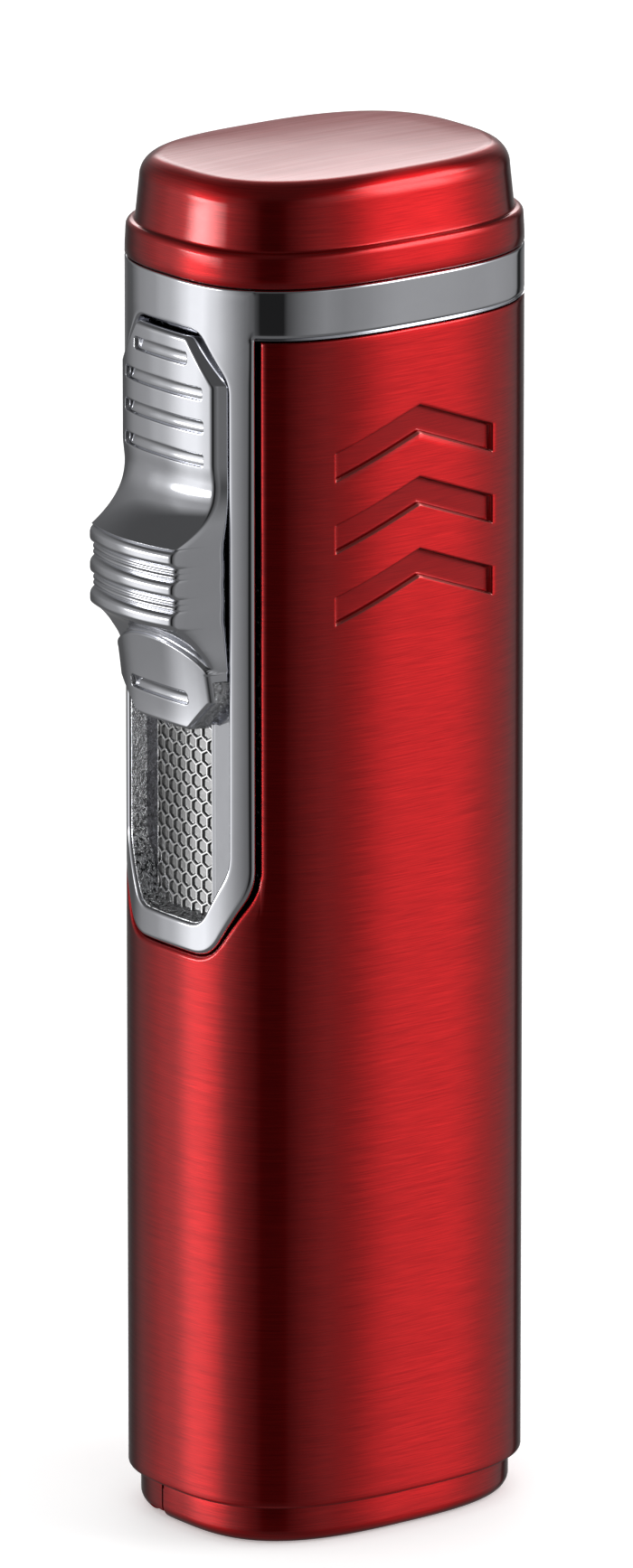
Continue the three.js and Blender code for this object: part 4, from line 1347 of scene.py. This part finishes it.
# ---------------------------------------------------------------- springs
# node: wire radius, turns, joint that presses it, share of its length left, the end that stays (0 low, 1 high)
SPRINGS = {
    "slider_spring": (0.2, 11, "slider_slide", 0.565, 0),
    "plunger_spring": (0.2, 4, "plunger_slide", 0.325, 0),
    "refill_spring": (0.15, 6, "refill_press", 0.745, 1),
}


def build_spring(node, wire, turns, joint, keep, fixed_end):
    """A coil with closed ends in its CAD node's box."""
    low, high = box_mm(node)
    middle = (low + high) / 2
    radius = (high.x - low.x) / 2 - wire
    skin = Skin()
    sides, per_turn = 12, 32
    count = (turns + 2) * per_turn
    rings = []
    for i in range(count + 1):
        share = i / count
        angle = 2 * math.pi * i / per_turn
        rise = clamp((share * (turns + 2) - 1) / turns)
        closed = wire * 1.6 * (clamp(share * (turns + 2)) + clamp(share * (turns + 2) - turns - 1))
        z = low.z + wire + closed + rise * (high.z - low.z - 2 * wire - 3.2 * wire)
        outward = Vector((math.cos(angle), math.sin(angle), 0))
        centre = Vector((middle.x, middle.y, z)) + outward * radius
        ring = []
        for k in range(sides):
            turn = 2 * math.pi * k / sides
            p = centre + outward * wire * math.cos(turn) + Vector((0, 0, wire * math.sin(turn)))
            ring.append(skin.point(p.x, p.y, p.z))
        rings.append(ring)
    skin.solid(rings)
    spring = skin.object(node + "_coil", SPRING_STEEL)
    place(spring, "case", "steel", node)
    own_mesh(spring)


# ---------------------------------------------------------------- assembly
shell = build_shell()
place(shell, "case", "lacquer", "body_shell")
collar = build_collar()
lid = build_lid()
for piece in join_hinge(collar, lid):
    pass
place(collar, "case", "chrome", "collar_bezel")
place(lid, "lid", "lacquer", "lid_cap")
slider = build_slider()
place(slider, "slider", "chrome", "slider_button")
place(build_track(), "case", "chrome", "track_plate")
place(build_honeycomb(), "case", "chrome")

base = build_base()
place(base, "case", "lacquer", "base_cap")
arm = build_arm()
place(arm, "punch", "lacquer", "punch_arm")

for node, numbers in SPRINGS.items():
    build_spring(node, *numbers)

NODE_MATERIALS = {
    "chassis": BLACK, "top_deck": BLACK, "slider_carriage": BLACK, "piezo_body": BLACK, "tank_lid": BLACK,
    "carriage_screw": STEEL, "lid_liner": STEEL, "lid_hinge_pin": STEEL, "burner_tube": STEEL,
    "spark_electrode": STEEL, "gas_lever": STEEL, "lever_pin": STEEL, "base_screw_front": STEEL,
    "base_screw_rear": STEEL, "punch_tube": STEEL, "punch_pin": STEEL,
    "lid_torsion_spring": SPRING_STEEL,
    "outlet_valve_body": BRASS, "valve_stem": BRASS, "flame_adjuster": BRASS, "refill_valve_body": BRASS,
    "refill_stem": BRASS,
    "fuel_tank": CLEAR, "jet_disc": CERAMIC, "piezo_plunger": CERAMIC,
    "ignition_wire": RUBBER, "gas_hose": RUBBER, "tank_gasket": RUBBER,
}
for name, material in NODE_MATERIALS.items():
    node = frame["nodes"][name]
    node.data.materials.clear()
    node.data.materials.append(material)
    shade_by_angle(node)


# ---------------------------------------------------------------- studio
# brightness of the studio by compass bearing, seen low down and seen higher up
LOW_RING = ((-180, 0.31), (-172, 0.26), (-168, 0.02), (-162, 0.02), (-158, 0.09), (-140, 0.26), (-110, 0.15),
            (-96, 0.09), (-85, 0.10), (-77, 0.19), (-70, 0.28), (-56, 0.36), (-52, 0.56), (-47, 0.86),
            (-40, 1.12), (-28, 1.16), (-20, 0.94), (-12, 0.80), (-2, 0.54), (9, 0.33), (20, 0.18), (30, 0.11),
            (38, 0.015), (62, 0.015), (66, 0.07), (95, 0.28), (106, 0.25), (116, 0.29), (126, 0.385),
            (145, 0.35), (156, 0.36), (180, 0.31))
HIGH_RING = ((-180, 0.20), (-168, 0.08), (-150, 0.15), (-105, 0.12), (-72, 0.20), (-54, 0.30), (-46, 0.45),
             (-32, 0.4), (-18, 0.36), (-8, 0.32), (8, 0.28), (20, 0.16), (32, 0.06), (42, 0.02), (58, 0.02),
             (68, 0.06), (80, 0.16), (95, 0.42), (106, 0.6), (114, 0.85), (120, 1.7), (125, 4.5), (134, 4.5),
             (138, 2.4), (150, 0.85), (165, 0.45), (180, 0.20))
# the bright wall behind the object, seen from the lid's flat top
BACK_WALL = ((-180, 0.0), (-143, 0.0), (-136, 1.0), (-118, 1.0), (-111, 0.0), (180, 0.0))
BACK_WALL_LEVEL = 3.8
# a tall lamp to the left, seen only from walls that lean back a little
LEFT_LAMP = ((-180, 0.0), (-48, 0.0), (-39, 0.9), (-32, 1.0), (-20, 0.55), (-4, 0.0), (180, 0.0))
LEFT_LAMP_LEVEL = 12.0
# a long lamp to the right and above, seen from the lid's upper edge
RIGHT_LAMP = ((-180, 0.0), (118, 0.0), (134, 1.0), (150, 1.0), (162, 0.0), (180, 0.0))
RIGHT_LAMP_LEVEL = 4.5
OVERHEAD_LEVEL = 0.08
BELOW_LEVEL = 0.13
FLOOR_SIZE = 1500
# the camera's bearing from the front, its angle above the ground, its distance and what it looks at
CAMERA_TURN, CAMERA_RISE = math.radians(52.67), math.radians(15.71)
CAMERA_DISTANCE = 0.98
CAMERA_TARGET = (0, 0, 0.042)


def grey(level):
    return (level,) * 3 + (1,)


def build_world():
    """A white studio painted by direction: grey rings, a bright wall and two lamps."""
    world = bpy.data.worlds.new("studio")
    bpy.context.scene.world = world
    world.use_nodes = True
    nodes = Nodes(world.node_tree)
    coords = nodes.add("ShaderNodeTexCoord")
    parts = nodes.add("ShaderNodeSeparateXYZ")
    nodes.link(coords.outputs["Generated"], parts.inputs[0])
    x, y, z = parts.outputs
    bearing = nodes.math("ARCTAN2", x, nodes.math("MULTIPLY", y, -1.0))
    share = nodes.range(bearing, -math.pi, math.pi, 0.0, 1.0)

    def compass(levels):
        return nodes.ramp(share, [((angle + 180) / 360, level) for angle, level in levels])

    def rising(low_angle, high_angle):
        return nodes.range(z, math.sin(math.radians(low_angle)), math.sin(math.radians(high_angle)), 0.0, 1.0)

    def lamp(ring, levels, low_fade, high_fade, level):
        patch = nodes.math("MULTIPLY", compass(levels), rising(*low_fade))
        return nodes.mix(nodes.math("MULTIPLY", patch, rising(*high_fade)), ring, grey(level))

    low, high = compass(LOW_RING), compass(HIGH_RING)
    ring = nodes.mix(rising(-4, 14), low, high)
    wall = nodes.math("MULTIPLY", compass(BACK_WALL), rising(10.5, 19.5))
    ring = nodes.mix(wall, ring, grey(BACK_WALL_LEVEL))
    ring = lamp(ring, LEFT_LAMP, (-9, -6), (2, -2), LEFT_LAMP_LEVEL)
    ring = nodes.mix(rising(24, 38), ring, grey(OVERHEAD_LEVEL))
    ring = lamp(ring, RIGHT_LAMP, (26, 30), (46, 42), RIGHT_LAMP_LEVEL)
    ring = nodes.mix(rising(-34, -21), grey(BELOW_LEVEL), ring)
    path = nodes.add("ShaderNodeLightPath")
    color = nodes.mix(path.outputs["Is Diffuse Ray"], ring, grey(0.9))
    color = nodes.mix(path.outputs["Is Camera Ray"], color, grey(1))
    background = nodes.add("ShaderNodeBackground")
    nodes.link(color, background.inputs[0])
    output = nodes.add("ShaderNodeOutputWorld")
    nodes.link(background.outputs[0], output.inputs[0])


def build_floor():
    """A white floor that the object does not mirror."""
    skin = Skin()
    corners = ((-1, -1), (1, -1), (1, 1), (-1, 1))
    skin.face(*[skin.point(x * FLOOR_SIZE, y * FLOOR_SIZE, -0.02) for x, y in corners])
    material, nodes, shader = new_material("floor")
    nodes.fill(shader, {
        "Base Color": grey(0.93),
        "Roughness": 0.9,
        "Specular IOR Level": 0.1,
        "Emission Color": grey(1),
        "Emission Strength": 0.33,
    })
    floor = skin.object("floor", material)
    floor.visible_glossy = False


def build_camera():
    """The photo's camera, fitted to the object's outline."""
    camera = bpy.data.objects.new("camera", bpy.data.cameras.new("camera"))
    bpy.context.scene.collection.objects.link(camera)
    level = math.cos(CAMERA_RISE)
    back = Vector((math.sin(CAMERA_TURN) * level, -math.cos(CAMERA_TURN) * level, math.sin(CAMERA_RISE)))
    camera.location = Vector(CAMERA_TARGET) + back * CAMERA_DISTANCE
    camera.rotation_mode = "QUATERNION"
    camera.rotation_quaternion = (-back).to_track_quat("-Z", "Y")
    camera.data.lens = 369.7
    camera.data.sensor_width = 36
    camera.data.shift_x = -0.0053
    camera.data.shift_y = 0.0320
    camera.data.clip_end = 10
    bpy.context.scene.camera = camera


build_world()
build_floor()
build_camera()
bpy.context.scene.view_settings.view_transform = "Standard"
bpy.context.scene.view_settings.look = "None"
